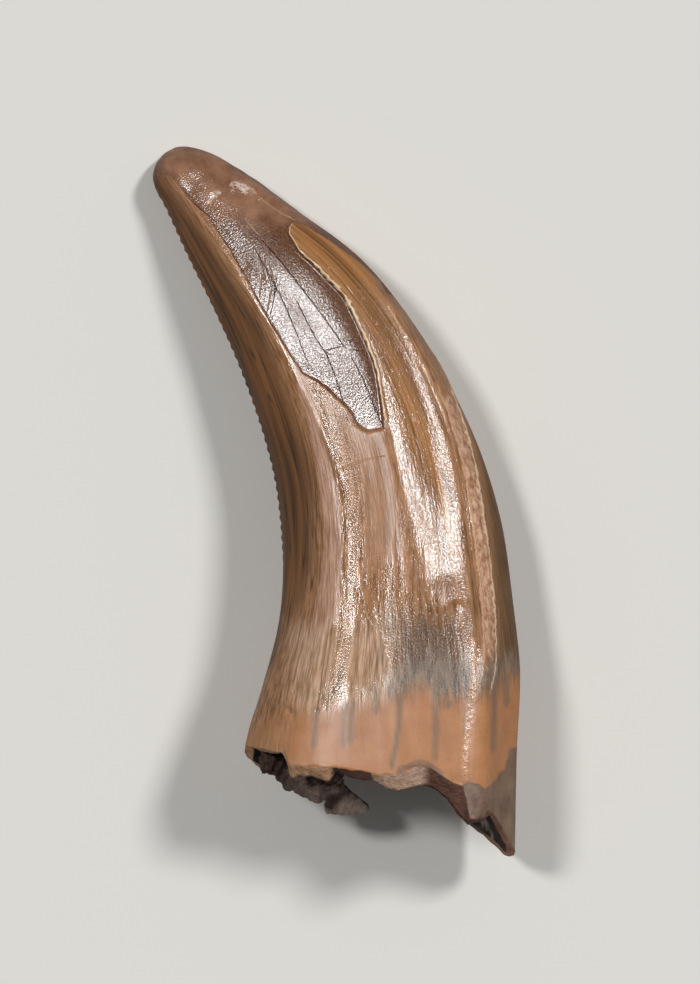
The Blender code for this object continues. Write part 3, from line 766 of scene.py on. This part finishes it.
def closed_mesh(name, rows):
    """A mesh of the rows of points, welded along its seam and at its two ends, and which point each
    vertex came from."""
    built = bmesh.new()
    spot = built.verts.layers.int.new("spot")
    down, across = rows.shape[0] - 1, rows.shape[1] - 1
    grid = bmesh.ops.create_grid(built, x_segments=across, y_segments=down, size=0.5)["verts"]
    for vertex in grid:
        column = round((vertex.co.x + 0.5) * across)
        row = round((vertex.co.y + 0.5) * down)
        vertex.co = rows[row, column]
        vertex[spot] = row * (across + 1) + column
    bmesh.ops.remove_doubles(built, verts=grid, dist=WELD)
    bmesh.ops.dissolve_degenerate(built, edges=built.edges[:], dist=WELD / 10)
    bmesh.ops.recalc_face_normals(built, faces=built.faces[:])
    for face in built.faces:
        row = min(vertex[spot] for vertex in face.verts) // (across + 1)
        # The enamel, then the broken rim, then the wall of the hollow.
        face.material_index = (row >= OUTER_ROWS - 1) + (row >= OUTER_ROWS + RIM_ROWS - 1)
        face.smooth = True
    bmesh.ops.scale(built, verts=built.verts[:], vec=(METRES, METRES, METRES))
    mesh = bpy.data.meshes.new(name)
    built.to_mesh(mesh)
    built.free()
    spots = np.empty(len(mesh.vertices), np.int32)
    mesh.attributes["spot"].data.foreach_get("value", spots)
    mesh.attributes.remove(mesh.attributes["spot"])
    return mesh, spots


def give(mesh, name, values):
    """Writes a value or a vector for each vertex into the mesh."""
    kind, key = ("FLOAT_VECTOR", "vector") if values.ndim == 2 else ("FLOAT", "value")
    written = mesh.attributes.new(name, kind, "POINT")
    written.data.foreach_set(key, np.ascontiguousarray(values, np.float32).ravel())


def build_tooth():
    """The tooth: crown, root, broken rim and the wall of its hollow, as one closed surface."""
    rows = tooth_rows()
    outer = rows[:OUTER_ROWS]
    at = survey(outer)
    marks = tooth_marks(at)
    outer += relief_of(outer, at)[..., None] * at.facing
    rows[..., 2] = np.maximum(rows[..., 2], 0)
    broken = rows[OUTER_ROWS - 1 : OUTER_ROWS + RIM_ROWS + MOUTH_ROWS]
    for axis in range(3):
        broken[..., axis] += uneven(broken, LIP_ROUGHNESS, LIP_GRIT, (1, 1, 1), 20.0 + 7 * axis)
    rows[:, -1] = rows[:, 0]
    rows[-1] = rows[-1].mean(axis=0)
    mesh, spots = closed_mesh("tooth_body", rows)
    for name, values in marks.items():
        # Off the outer surface, every zone is far away, and the grain is the place itself.
        full = np.full((*rows.shape[:2], *values.shape[2:]), -1.0)
        full[:OUTER_ROWS] = values
        if name == "grain":
            full[OUTER_ROWS:] = rows[OUTER_ROWS:]
        give(mesh, name, full.reshape(-1, *values.shape[2:])[spots])
    septum = SEPTUM_HALF - np.abs(beside(SEPTUM, rows[..., 0], rows[..., 1])[0])
    give(mesh, "septum_mm", septum.ravel()[spots])
    return mesh


# The sediment's plug: the stations that it runs between, its rings and which of the crown's columns
# they take, and how clear it is of the wall of the hollow.
PLUG_SPAN = (0.75, 0.968)
PLUG_RINGS = 16
PLUG_COLUMN_STEP = 3
PLUG_GAP = 0.12
PLUG_LEAST_SHARE = 0.1
# The lumps that stand out of it, as (centre, radii, turn in degrees). The crumbs eat into them, so
# they start somewhat larger.
LUMPS = (
    ((-2.85, -11.7, 4.4), (0.65, 0.75, 1.0), -20),
    ((-2.45, -11.95, 4.3), (0.65, 0.75, 1.0), 15),
    ((-1.95, -12.4, 4.1), (0.6, 0.8, 1.1), -25),
    ((-1.4, -12.65, 4.5), (0.7, 0.85, 1.2), 10),
    ((-0.75, -12.8, 4.6), (0.6, 0.95, 1.3), -15),
    ((-0.4, -12.5, 4.2), (0.5, 0.95, 1.2), 30),
    ((-0.25, -11.7, 3.6), (0.55, 1.3, 1.2), 5),
)
LUMP_EXCESS = 1.22
# The clod that hangs from them: its outline, and its lower and upper face.
CLOD_OUTLINE = (
    (-0.15, -12.9), (0.3, -12.9), (0.75, -13.3), (1.2, -13.65), (1.5, -13.95), (1.45, -14.15),
    (0.9, -14.3), (0.2, -14.3), (-0.45, -14.25), (-0.55, -14.0), (-0.5, -13.75),
)
CLOD_HEIGHTS = (2.7, 4.0)
# The mass is fused at this grain. Then it gets crumbs, which stand out by a share of their size, and
# dents. The clod, from its top over its start, gets only a share of both.
SEDIMENT_GRAIN = 0.08
CRUMB_SIZE = 0.38
CRUMB_HEIGHT_SHARE = 0.85
CRUMB_LEVEL = 0.3
DENT_SIZE = 0.8
DENT_DEPTH = 0.16
CLOD_TOP = -12.8
CLOD_START = 0.4
CLOD_ROUGHNESS_SHARE = 0.25


def add_plug(built):
    """The filling of the hollow: rings drawn in from its wall, with both ends closed."""
    station, outer = crown_samples()
    inner = cavity_samples(station, outer)
    rings = []
    for at in np.linspace(*PLUG_SPAN, PLUG_RINGS):
        ring = inner[int(np.argmin(abs(station - at))), :-1:PLUG_COLUMN_STEP]
        centre = ring.mean(axis=0)
        reach = np.linalg.norm(ring - centre, axis=1, keepdims=True)
        ring = centre + (ring - centre) * np.maximum(1 - PLUG_GAP / reach, PLUG_LEAST_SHARE)
        rings.append(np.concatenate([ring, ring[:1]]))
    down, across = len(rings) - 1, len(rings[0]) - 1
    grid = bmesh.ops.create_grid(built, x_segments=across, y_segments=down, size=0.5)["verts"]
    for vertex in grid:
        vertex.co = rings[round((vertex.co.y + 0.5) * down)][round((vertex.co.x + 0.5) * across)]
    bmesh.ops.remove_doubles(built, verts=grid, dist=WELD)
    bmesh.ops.holes_fill(built, edges=built.edges[:], sides=0)


def add_lump(built, centre, radii, turn):
    """One rounded lump, turned about the upright."""
    angle = math.radians(turn)
    for vertex in bmesh.ops.create_icosphere(built, subdivisions=1, radius=LUMP_EXCESS)["verts"]:
        x, y, z = (value * radius for value, radius in zip(vertex.co, radii))
        x, y = x * math.cos(angle) - y * math.sin(angle), x * math.sin(angle) + y * math.cos(angle)
        vertex.co = Vector(centre) + Vector((x, y, z))


def add_clod(built):
    """The three-cornered clod: its outline, pulled up into a slab."""
    lower, upper = CLOD_HEIGHTS
    corners = [built.verts.new((x, y, lower)) for x, y in CLOD_OUTLINE]
    slab = bmesh.ops.extrude_face_region(built, geom=[built.faces.new(corners)])
    raised = [item for item in slab["geom"] if isinstance(item, bmesh.types.BMVert)]
    bmesh.ops.translate(built, verts=raised, vec=(0, 0, upper - lower))


def fuse(name, built):
    """One closed mesh of all the shapes, whose joins are melted together."""
    bmesh.ops.recalc_face_normals(built, faces=built.faces[:])
    rough = bpy.data.meshes.new(name)
    built.to_mesh(rough)
    built.free()
    shapes = bpy.data.objects.new("sediment_shapes", rough)
    bpy.context.scene.collection.objects.link(shapes)
    remesh = shapes.modifiers.new("fused", "REMESH")
    remesh.mode = "VOXEL"
    remesh.voxel_size = SEDIMENT_GRAIN
    settled = bpy.context.evaluated_depsgraph_get()
    mesh = bpy.data.meshes.new_from_object(shapes.evaluated_get(settled))
    bpy.data.objects.remove(shapes)
    bpy.data.meshes.remove(rough)
    mesh.name = name
    return mesh


def build_sediment():
    """The hollow's filling of dark sediment, with its lumps and its clod fused into one weathered mass."""
    built = bmesh.new()
    add_plug(built)
    for lump in LUMPS:
        add_lump(built, *lump)
    add_clod(built)
    mesh = fuse("sediment_mass", built)
    built = bmesh.new()
    built.from_mesh(mesh)
    every_way = {"use_axis_x": True, "use_axis_y": True, "use_axis_z": True}
    bmesh.ops.smooth_vert(built, verts=built.verts[:], factor=0.5, **every_way)
    built.normal_update()
    for vertex in built.verts:
        place = vertex.co
        near, next_near = noise.voronoi(place / CRUMB_SIZE)[0][:2]
        crumb = (next_near - near - CRUMB_LEVEL) * CRUMB_SIZE * CRUMB_HEIGHT_SHARE
        dent = noise.noise(place / DENT_SIZE) * DENT_DEPTH
        on_clod = min(max((CLOD_TOP - place.y) / CLOD_START, 0), 1)
        kept = 1 - (1 - CLOD_ROUGHNESS_SHARE) * on_clod
        vertex.co = place + vertex.normal * (dent + crumb) * kept
    for face in built.faces:
        face.smooth = True
    bmesh.ops.scale(built, verts=built.verts[:], vec=(METRES, METRES, METRES))
    built.to_mesh(mesh)
    built.free()
    return mesh


MATH = "ShaderNodeMath"
NOISE = "ShaderNodeTexNoise"
RANGE = "ShaderNodeMapRange"
MIX = "ShaderNodeMix"
VECTOR = "ShaderNodeVectorMath"
ATTRIBUTE = "ShaderNodeAttribute"
# The places of a colour mix's inputs among its node's, and what makes the node mix colours.
SHARE, UNDER, OVER = 0, 6, 7
COLOURS = {"out": 2, "data_type": "RGBA"}


def paint(code):
    """A colour from its sRGB code, as the linear values that a shader works with."""
    shares = [int(code[place : place + 2], 16) / 255 for place in (1, 3, 5)]
    return (*(s / 12.92 if s <= 0.04045 else ((s + 0.055) / 1.055) ** 2.4 for s in shares), 1)


def add(tree, kind, inputs, out=0, **settings):
    """A node of the kind, with its settings made and its inputs joined or set: the given output of it."""
    node = tree.nodes.new(kind)
    for name, value in settings.items():
        setattr(node, name, value)
    for socket, value in inputs.items() if isinstance(inputs, dict) else enumerate(inputs):
        if isinstance(value, bpy.types.NodeSocket):
            tree.links.new(value, node.inputs[socket])
        else:
            node.inputs[socket].default_value = value
    return node.outputs[out]


def new_material(name):
    """A material with one surface shader, its nodes, and the shader."""
    material = bpy.data.materials.new(name)
    material.use_nodes = True
    tree = material.node_tree
    tree.nodes.clear()
    surface = tree.nodes.new("ShaderNodeBsdfPrincipled")
    end = tree.nodes.new("ShaderNodeOutputMaterial")
    tree.links.new(surface.outputs["BSDF"], end.inputs["Surface"])
    return material, tree, surface


def in_millimetres(tree):
    """The place on the object, in millimetres."""
    metres = add(tree, "ShaderNodeTexCoord", {}, out="Object")
    return add(tree, VECTOR, {0: metres, 3: 1 / METRES}, operation="SCALE")


def coat(tree, surface, colour, height, depth):
    """Gives the shader its colour and its fine relief, which is the height times the depth."""
    tree.links.new(colour, surface.inputs["Base Color"])
    bump = add(tree, "ShaderNodeBump", {"Height": height, "Distance": depth * METRES, "Strength": 1.0})
    tree.links.new(bump, surface.inputs["Normal"])


# Noise textures of the enamel: how they are stretched along the grain, their size in mm, detail and
# roughness. Enamel fibres are 0.005 mm wide and pits 0.02 mm: they are drawn at 0.11 and 0.08 mm, the
# least that shows. Growth bands are 0.6 mm apart, and drying lines 0.75 mm.
TEXTURES = {
    "fibres": ("grain", (1, 1, 0.09), 0.11, 3, 0.6),
    "strands": ("grain", (1, 1, 0.2), 0.2, 3, 0.6),
    "bands": ("grain", (1, 1, 0.08), 0.6, 3, 0.55),
    "lines": ("grain", (1, 1, 0.04), 0.75, 1, 0.4),
    "clouds": ("object", (1, 1, 1), 1.1, 4, 0.6),
    "blotches": ("object", (1, 1, 1), 0.35, 3, 0.6),
    "specks": ("object", (1, 1, 1), 0.08, 2, 0.5),
}

# Zones of the outer surface, each painted over those before it: the mark that says how far inside it a
# place is, where its edge starts and ends, the noise that makes the edge ragged and its reach in mm,
# its two colours with the noise and the span of noise that mixes them, and how strong the zone is.
ZONES = (
    ("flute_mm", -0.2, 0.5, "strands", 0.6, "#80552c", "#b07a48", "bands", 0.35, 0.65, 1.0),
    ("flank_mm", 0.0, 0.7, "strands", 0.5, "#5a3716", "#8a5a2c", "bands", 0.35, 0.65, 1.0),
    # Painted shade: the flank is darkened towards its outer edge.
    ("shade_mm", 0.0, 1.6, "bands", 1.6, "#33200f", "#54371d", "strands", 0.35, 0.65, 0.93),
    # Paler enamel along the smooth ridge, lightened further with a painted sheen.
    ("pale_sheen_mm", -0.08, 0.16, "strands", 0.25, "#9c7158", "#cfa58c", "fibres", 0.35, 0.65, 0.85),
    # The worn facet's own purple-brown, with dark specks in its pits that are painted shade.
    ("worn_and_pit_shade_mm", -0.03, 0.03, "blotches", 0.15, "#4d2f1e", "#7a5238", "specks", 0.35, 0.65, 1.0),
    ("cap_mm", -0.5, 0.6, "clouds", 0.8, "#6b4630", "#a87b60", "clouds", 0.25, 0.75, 1.0),
    # The mesial side past the crest: its own brown, darkened further with painted shade.
    ("beyond_shade_mm", -0.1, 0.5, "strands", 0.5, "#553a1e", "#75522f", "fibres", 0.35, 0.65, 1.0),
    # The reddish rib along the crest, with pale blotches on its beads that are painted highlight.
    ("rib_and_highlight_mm", -0.05, 0.1, "strands", 0.12, "#a46c48", "#eabf9f", "blotches", 0.35, 0.65, 0.9),
    ("smoke_mm", -0.6, 1.5, "strands", 2.4, "#49301d", "#785a40", "fibres", 0.35, 0.65, 0.9),
    ("band_mm", -0.5, 0.7, "strands", 1.8, "#5b4a3b", "#8f7a67", "strands", 0.35, 0.65, 0.9),
    ("pale_mm", -0.4, 1.0, "strands", 1.4, "#9b7856", "#dab69c", "fibres", 0.35, 0.65, 0.8),
    ("middle_mm", -0.2, 0.6, "strands", 0.8, "#8d5d38", "#b98155", "fibres", 0.35, 0.65, 0.75),
    # Painted highlights: pale glinting spots by the tip.
    ("tip_glint_mm", -0.1, 0.02, "specks", 0.35, "#b08c79", "#f0dccf", "blotches", 0.4, 0.55, 0.75),
    ("stain_mm", -0.1, 0.5, "strands", 0.6, "#6f4a2c", "#9a6f4a", "fibres", 0.35, 0.65, 0.6),
    ("root_mm", -0.75, 0.75, "strands", 1.3, "#a86e41", "#bd8152", "clouds", 0.3, 0.7, 1.0),
    ("rubbed_mm", -0.3, 0.9, "strands", 0.6, "#865a38", "#b9875f", "fibres", 0.35, 0.65, 0.6),
    ("dull_mm", -0.4, 1.4, "bands", 1.5, "#946c48", "#bb8c62", "fibres", 0.35, 0.65, 0.85),
    ("streak_mm", -0.14, 0.12, "strands", 0.2, "#6b5440", "#8d7055", "fibres", 0.3, 0.7, 0.75),
    # Painted highlight: a paler strip along the beaded ridge on the root.
    ("pearl_highlight_mm", -0.1, 0.15, "blotches", 0.2, "#b5805a", "#e2b596", "specks", 0.4, 0.6, 0.6),
    # Painted shadow along the top of the broken lip.
    ("lip_shadow_mm", -0.1, 0.08, "blotches", 0.2, "#5b4334", "#8a6a54", "blotches", 0.3, 0.7, 0.8),
    ("shard_mm", -0.05, 0.1, "blotches", 0.2, "#6a4f3d", "#8d7159", "clouds", 0.3, 0.7, 1.0),
    ("patch_mm", -0.14, -0.06, "blotches", 0.1, "#674a39", "#846958", "blotches", 0.35, 0.65, 1.0),
)

# Lines on the outer surface: the marks that hold them, their half width and soft edge in mm, how far
# from an end they are thinner, how far they wander, their colour and strength, and their relief in mm.
LINES = (
    ("rim_mm", 0.045, 0.03, 0.5, 0.3, "#e6c6a0", 0.95, 0.01),
    # Painted highlights: a pale line on each side of the mesial crest.
    ("crest_highlight_mm", 0.035, 0.04, 1.0, 0.3, "#f2d2b4", 0.8, 0.02),
    ("seam_highlight_mm", 0.02, 0.03, 1.0, 0.2, "#e9bd9c", 0.6, 0.01),
    ("scratches", 0.018, 0.03, 0.3, 0.04, "#d0ae90", 0.35, -0.012),
    ("cracks", 0.016, 0.016, 0.9, 0.05, "#22120a", 0.95, -0.03),
)

# Relief finer than the mesh: the noise, the span of it over which the surface rises (a short span
# leaves flats with steep edges between them), the rise in mm, and the mark that it is kept to.
RELIEF = (
    ("fibres", 0.0, 1.0, 0.012, "grooved"),
    ("strands", 0.0, 1.0, 0.016, "grooved"),
    ("specks", 0.0, 1.0, 0.0115, "speckle"),
    ("specks", 0.46, 0.54, 0.0012, "speckle"),
    ("lines", 0.0, 1.0, 0.02, "grooved"),
    ("blotches", 0.35, 0.65, 0.014, "beaded"),
)

# How rough each zone is, where it isn't as glossy as the top of the crown: nothing polishes the flanks.
DULLNESS = (
    ("flank_mm", 0.3),
    ("shade_mm", 0.35),
    ("pale_sheen_mm", 0.34),
    ("rubbed_mm", 0.4),
    ("beyond_shade_mm", 0.3),
    ("smoke_mm", 0.28),
    ("band_mm", 0.4),
    ("root_mm", 0.44),
    ("pearl_highlight_mm", 0.2),
    ("middle_mm", 0.42),
)

# How much stronger the hairlines are in a zone than outside it.
HAIRLINES = (
    ("flute_mm", 1, 1.3),
    ("flank_mm", 1, 1.7),
    ("smoke_mm", 1, 0.6),
    ("band_mm", 1, 0.4),
    ("root_mm", 1, 0),
    ("worn_and_pit_shade_mm", 1, 0),
    ("pale_sheen_mm", 1, 0.3),
)

# The drying lines are where one noise crosses either of two values: how far those are from its
# middle, where a line starts and is full, how dark it is, and its colour.
HAIRLINE_ASIDE = 0.05
HAIRLINE_FADE = (0.014, 0.003)
HAIRLINE_STRENGTH = 0.45
HAIRLINE_COLOUR = "#352012"
# Enamel's own colours under all the zones, and its paler fibres.
OCHRE = ("#80552f", "#b5845c")
PALE_FIBRES = "#d9b096"
# Apatite's IOR is 1.64, and the iron in fossil enamel takes it a little higher.
ENAMEL_IOR = 1.7
ENAMEL_ROUGHNESS = 0.15


def enamel_noises(tree):
    """The enamel's noise textures by name."""
    grain = add(tree, ATTRIBUTE, {}, out="Vector", attribute_name="grain")
    places = {"grain": grain, "object": in_millimetres(tree)}
    noises = {}
    for name, (place, stretch, size, detail, rough) in TEXTURES.items():
        stretched = add(tree, VECTOR, (places[place], stretch), operation="MULTIPLY")
        settings = {"Vector": stretched, "Scale": 1 / size, "Detail": detail, "Roughness": rough}
        noises[name] = add(tree, NOISE, settings, out="Fac")
    return noises


def enamel_zones(tree, noises):
    """The colour of the enamel with all its zones, and each zone's share of it by its mark."""
    share = add(tree, RANGE, (noises["strands"], 0.35, 0.65))
    colour = add(tree, MIX, {SHARE: share, UNDER: paint(OCHRE[0]), OVER: paint(OCHRE[1])}, **COLOURS)
    share = add(tree, RANGE, (noises["fibres"], 0.52, 0.66, 0, 0.3))
    colour = add(tree, MIX, {SHARE: share, UNDER: colour, OVER: paint(PALE_FIBRES)}, **COLOURS)
    shares = {}
    for mark, start, end, ragged, reach, dark, light, texture, low, high, strength in ZONES:
        depth = add(tree, ATTRIBUTE, {}, out="Fac", attribute_name=mark)
        depth = add(tree, MATH, (noises[ragged], reach, depth), operation="MULTIPLY_ADD")
        limits = (start + reach / 2, end + reach / 2)
        share = add(tree, RANGE, (depth, *limits, 0, strength), interpolation_type="SMOOTHSTEP")
        shares[mark] = share
        mixing = add(tree, RANGE, (noises[texture], low, high))
        inner = add(tree, MIX, {SHARE: mixing, UNDER: paint(dark), OVER: paint(light)}, **COLOURS)
        colour = add(tree, MIX, {SHARE: share, UNDER: colour, OVER: inner}, **COLOURS)
    return colour, shares


def with_hairlines(tree, noises, shares, colour):
    """The colour with fine dark drying lines along the grain."""
    crossing = noises["lines"]
    for middle in (0.5, HAIRLINE_ASIDE):
        crossing = add(tree, MATH, (crossing, middle), operation="SUBTRACT")
        crossing = add(tree, MATH, (crossing,), operation="ABSOLUTE")
    hairline = add(tree, RANGE, (crossing, *HAIRLINE_FADE, 0, HAIRLINE_STRENGTH))
    for mark, low, high in HAIRLINES:
        kept = add(tree, RANGE, (shares[mark], 0, 1, low, high))
        hairline = add(tree, MATH, (hairline, kept), operation="MULTIPLY")
    inputs = {SHARE: hairline, UNDER: colour, OVER: paint(HAIRLINE_COLOUR)}
    return add(tree, MIX, inputs, **COLOURS)


def fine_relief(tree, noises):
    """The height of the relief that is finer than the mesh, in millimetres."""
    height = 0.0
    for name, low, high, rise, kept_to in RELIEF:
        kept = add(tree, ATTRIBUTE, {}, out="Fac", attribute_name=kept_to)
        raised = add(tree, RANGE, (noises[name], low, high, 0, rise))
        height = add(tree, MATH, (raised, kept, height), operation="MULTIPLY_ADD")
    return height


def with_lines(tree, noises, colour, height):
    """The colour and the height with the rim, the painted highlight lines beside the crest, the scratches
    and the cracks.
    """
    for mark, half, soft, fade, wander, code, strength, rise in LINES:
        vector = add(tree, ATTRIBUTE, {}, out="Vector", attribute_name=mark)
        across, away, end = (add(tree, "ShaderNodeSeparateXYZ", (vector,), out=axis) for axis in "XYZ")
        across = add(tree, MATH, (noises["blotches"], wander, across), operation="MULTIPLY_ADD")
        across = add(tree, MATH, (across, wander / 2), operation="SUBTRACT")
        across = add(tree, MATH, (across,), operation="ABSOLUTE")
        width = add(tree, RANGE, (end, 0, fade, 0, half))
        within_it = add(tree, MATH, (width, across), operation="SUBTRACT")
        share = add(tree, RANGE, (within_it, -soft, soft / 2))
        # However it wanders, a line keeps near its own place, and doesn't go past its end.
        for limit in (add(tree, RANGE, (away, 0.25, 0.2)), add(tree, RANGE, (end, 0, 0.05))):
            share = add(tree, MATH, (share, limit), operation="MULTIPLY")
        tinted = add(tree, MATH, (share, strength), operation="MULTIPLY")
        colour = add(tree, MIX, {SHARE: tinted, UNDER: colour, OVER: paint(code)}, **COLOURS)
        height = add(tree, MATH, (share, rise, height), operation="MULTIPLY_ADD")
    return colour, height


def enamel_material():
    """Apatite enamel, polished by wear: glossy, with a broken sparkle where it is scratched and pitted.
    The worn facet is bare dentine, as glossy, and the root is satin."""
    material, tree, surface = new_material("polished_fossil_enamel")
    noises = enamel_noises(tree)
    colour, shares = enamel_zones(tree, noises)
    colour = with_hairlines(tree, noises, shares, colour)
    colour, height = with_lines(tree, noises, colour, fine_relief(tree, noises))
    coat(tree, surface, colour, height, 1)
    roughness = ENAMEL_ROUGHNESS
    for mark, dulled in DULLNESS:
        roughness = add(tree, RANGE, (shares[mark], 0, 1, roughness, dulled))
    tree.links.new(roughness, surface.inputs["Roughness"])
    surface.inputs["IOR"].default_value = ENAMEL_IOR
    return material


# Colours of the broken wall's layers from west to east, each with the x at which it is reached.
BREAK_COLOURS = (
    (-4.6, "#a98059"),
    (-2.4, "#a98059"),
    (-2.3, "#b98d6a"),
    (0.0, "#b68a68"),
    (0.15, "#4b3022"),
    (1.8, "#5d3d2b"),
    (2.0, "#b9937b"),
    (4.1, "#c4a08a"),
    (4.5, "#5a3829"),
    (6.9, "#6d4735"),
    (7.3, "#9c6647"),
    (8.6, "#c08a68"),
)
BREAK_SHADE = "#38241a"
# The tubules of dentine are 0.002 mm wide, so its break is drawn with a grit of 0.2 mm.
BREAK_GRIT = 0.2


def broken_material():
    """Dentine, broken across its layers: rough, with no gloss, and with painted shade in its small
    hollows.
    """
    material, tree, surface = new_material("broken_dentine")
    place = in_millimetres(tree)
    settings = {"Vector": place, "Scale": 1 / BREAK_GRIT, "Detail": 4.0, "Roughness": 0.65}
    grit = add(tree, NOISE, settings, out="Fac")
    east = add(tree, "ShaderNodeSeparateXYZ", (place,), out="X")
    east = add(tree, MATH, (grit, 0.5, east), operation="MULTIPLY_ADD")
    west_end, east_end = BREAK_COLOURS[0][0], BREAK_COLOURS[-1][0]
    east = add(tree, RANGE, (east, west_end, east_end))
    ramp = add(tree, "ShaderNodeValToRGB", (east,), out="Color")
    stops = ramp.node.color_ramp.elements
    for number, (start, code) in enumerate(BREAK_COLOURS):
        share = (start - west_end) / (east_end - west_end)
        stop = stops[number] if number < 2 else stops.new(share)
        stop.position = share
        stop.color = paint(code)
    # Painted shade: the low places of the grit, the hollows of its bump, are darkened.
    share = add(tree, RANGE, (grit, 0.35, 0.6, 0.6, 1.0))
    colour = add(tree, MIX, {SHARE: share, UNDER: paint(BREAK_SHADE), OVER: ramp}, **COLOURS)
    coat(tree, surface, colour, grit, 0.12)
    surface.inputs["Roughness"].default_value = 0.55
    return material


# The hollow's wall is nearly black in blotches of about 0.7 mm. The septum across it is drawn only in
# colour, paler than its own grey with painted light so that it shows in the hollow's shade.
HOLLOW_DARKS = ("#140c08", "#463429")
HOLLOW_BLOTCH_SIZE = 2 / 3
SEPTUM_PALE_AND_LIGHT = "#8d7b70"


def hollow_material():
    """The wall of the hollow: dentine, nearly black in blotches, and dull."""
    material, tree, surface = new_material("dark_blotched_hollow_wall")
    settings = {"Vector": in_millimetres(tree), "Scale": 1 / HOLLOW_BLOTCH_SIZE, "Detail": 4.0}
    blotches = add(tree, NOISE, settings, out="Fac")
    share = add(tree, RANGE, (blotches, 0.4, 0.7))
    dark, light = (paint(code) for code in HOLLOW_DARKS)
    # stain is only the wall's colour: nearly black in blotches.
    stain = add(tree, MIX, {SHARE: share, UNDER: dark, OVER: light}, **COLOURS)
    depth = add(tree, ATTRIBUTE, {}, out="Fac", attribute_name="septum_mm")
    depth = add(tree, MATH, (blotches, 0.2, depth), operation="MULTIPLY_ADD")
    share = add(tree, RANGE, (depth, 0.07, 0.15))
    # Painted light: the septum is paler so that it shows in the shade of the hollow.
    colour = add(tree, MIX, {SHARE: share, UNDER: stain, OVER: paint(SEPTUM_PALE_AND_LIGHT)}, **COLOURS)
    tree.links.new(colour, surface.inputs["Base Color"])
    surface.inputs["Roughness"].default_value = 0.6
    return material


# Silt is 0.05 mm and finer: it is drawn as the crumbs of 0.3 mm that it breaks into. The mudstone is damp
# and dark in the hollow, and from the second x on it is a paler grey-brown, lightened further with painted
# light against the shadow that the tooth casts on the clod.
SILT_CRUMB = 2 / 7
DAMP = ("#1c110b", "#5c4536")
PALE_AND_LIGHTENED_MUD = ("#7a665a", "#a39085")
LIGHTENING_FROM_TO = (-2.6, 0.2)


def sediment_material():
    """Dark, crumbling mudstone: no gloss, and a rough face that breaks the light up."""
    material, tree, surface = new_material("crumbling_mudstone")
    place = in_millimetres(tree)
    settings = {"Vector": place, "Scale": 1 / SILT_CRUMB, "Detail": 5.0, "Roughness": 0.65}
    crumbs = add(tree, NOISE, settings, out="Fac")
    share = add(tree, RANGE, (crumbs, 0.35, 0.7))
    states = []
    for dark, light in (DAMP, PALE_AND_LIGHTENED_MUD):
        inputs = {SHARE: share, UNDER: paint(dark), OVER: paint(light)}
        states.append(add(tree, MIX, inputs, **COLOURS))
    east = add(tree, "ShaderNodeSeparateXYZ", (place,), out="X")
    share = add(tree, RANGE, (east, *LIGHTENING_FROM_TO))
    colour = add(tree, MIX, {SHARE: share, UNDER: states[0], OVER: states[1]}, **COLOURS)
    coat(tree, surface, colour, crumbs, 0.2)
    surface.inputs["Roughness"].default_value = 0.9
    return material


def board_material():
    """Painted board, matt and pale, so that only the tooth has gloss."""
    material, tree, surface = new_material("pale_matt_board")
    surface.inputs["Base Color"].default_value = paint("#e2e0db")
    surface.inputs["Roughness"].default_value = 0.9
    surface.inputs["Specular IOR Level"].default_value = 0.2
    return material


def show(name, mesh, *materials):
    """A finished piece, at the origin and unturned."""
    for material in materials:
        mesh.materials.append(material)
    piece = bpy.data.objects.new(name, mesh)
    bpy.context.scene.collection.objects.link(piece)
    return piece


# Half the board's side, in metres.
BOARD_HALF = 1.5


def set_stage():
    """The board under the tooth."""
    built = bmesh.new()
    bmesh.ops.create_grid(built, x_segments=1, y_segments=1, size=BOARD_HALF)
    mesh = bpy.data.meshes.new("board")
    built.to_mesh(mesh)
    built.free()
    board = show("board", mesh, board_material())
    # The dark flanks would mirror the whole pale board.
    board.visible_glossy = False


# Each light: how far to the east and the north it stands for each unit of distance, its strength,
# and its width in degrees. Then the strength of the room's own light.
LIGHTS = (
    ("left_softbox", (-0.42, 0.26), 1.3, 9.5),
    ("right_softbox", (0.58, 0.36), 1.8, 10),
)
AMBIENT = 0.15
# The place that the camera is over, and its height, in mm. At the height of the tooth's outline the
# picture is this many mm tall.
CAMERA_OVER = (0.636, 0.386)
CAMERA_HEIGHT = 400.0
SILHOUETTE_HEIGHT = 4.5
FIELD_HEIGHT = 44.73
SENSOR = 36.0
CAMERA_REACH = (0.01, 10)


def set_lights():
    """Two soft lights over the sides, in a pale room."""
    for name, (east, north), strength, width in LIGHTS:
        light = bpy.data.lights.new(name, "SUN")
        light.energy = strength
        light.angle = math.radians(width)
        lamp = bpy.data.objects.new(name, light)
        rise = math.sqrt(1 - east * east - north * north)
        lamp.rotation_mode = "QUATERNION"
        lamp.rotation_quaternion = Vector((east, north, rise)).to_track_quat("Z", "Y")
        bpy.context.scene.collection.objects.link(lamp)
    world = bpy.data.worlds.new("pale_room")
    world.use_nodes = True
    room = world.node_tree.nodes["Background"]
    room.inputs["Color"].default_value = (1, 1, 1, 1)
    room.inputs["Strength"].default_value = AMBIENT
    bpy.context.scene.world = world


def set_camera():
    """The camera looks straight down on the tooth."""
    data = bpy.data.cameras.new("overhead_camera")
    data.sensor_width = SENSOR
    data.lens = SENSOR * (CAMERA_HEIGHT - SILHOUETTE_HEIGHT) / FIELD_HEIGHT
    data.clip_start, data.clip_end = CAMERA_REACH
    camera = bpy.data.objects.new("overhead_camera", data)
    camera.location = (CAMERA_OVER[0] * METRES, CAMERA_OVER[1] * METRES, CAMERA_HEIGHT * METRES)
    bpy.context.scene.collection.objects.link(camera)
    bpy.context.scene.camera = camera


tooth = show("tooth_body", build_tooth(), enamel_material(), broken_material(), hollow_material())
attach(tooth, "root")
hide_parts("tooth")

filling = show("sediment_mass", build_sediment(), sediment_material())
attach(filling, "root")
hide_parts("sediment_filling")

set_stage()
set_lights()
set_camera()
bpy.context.scene.view_settings.view_transform = "Standard"
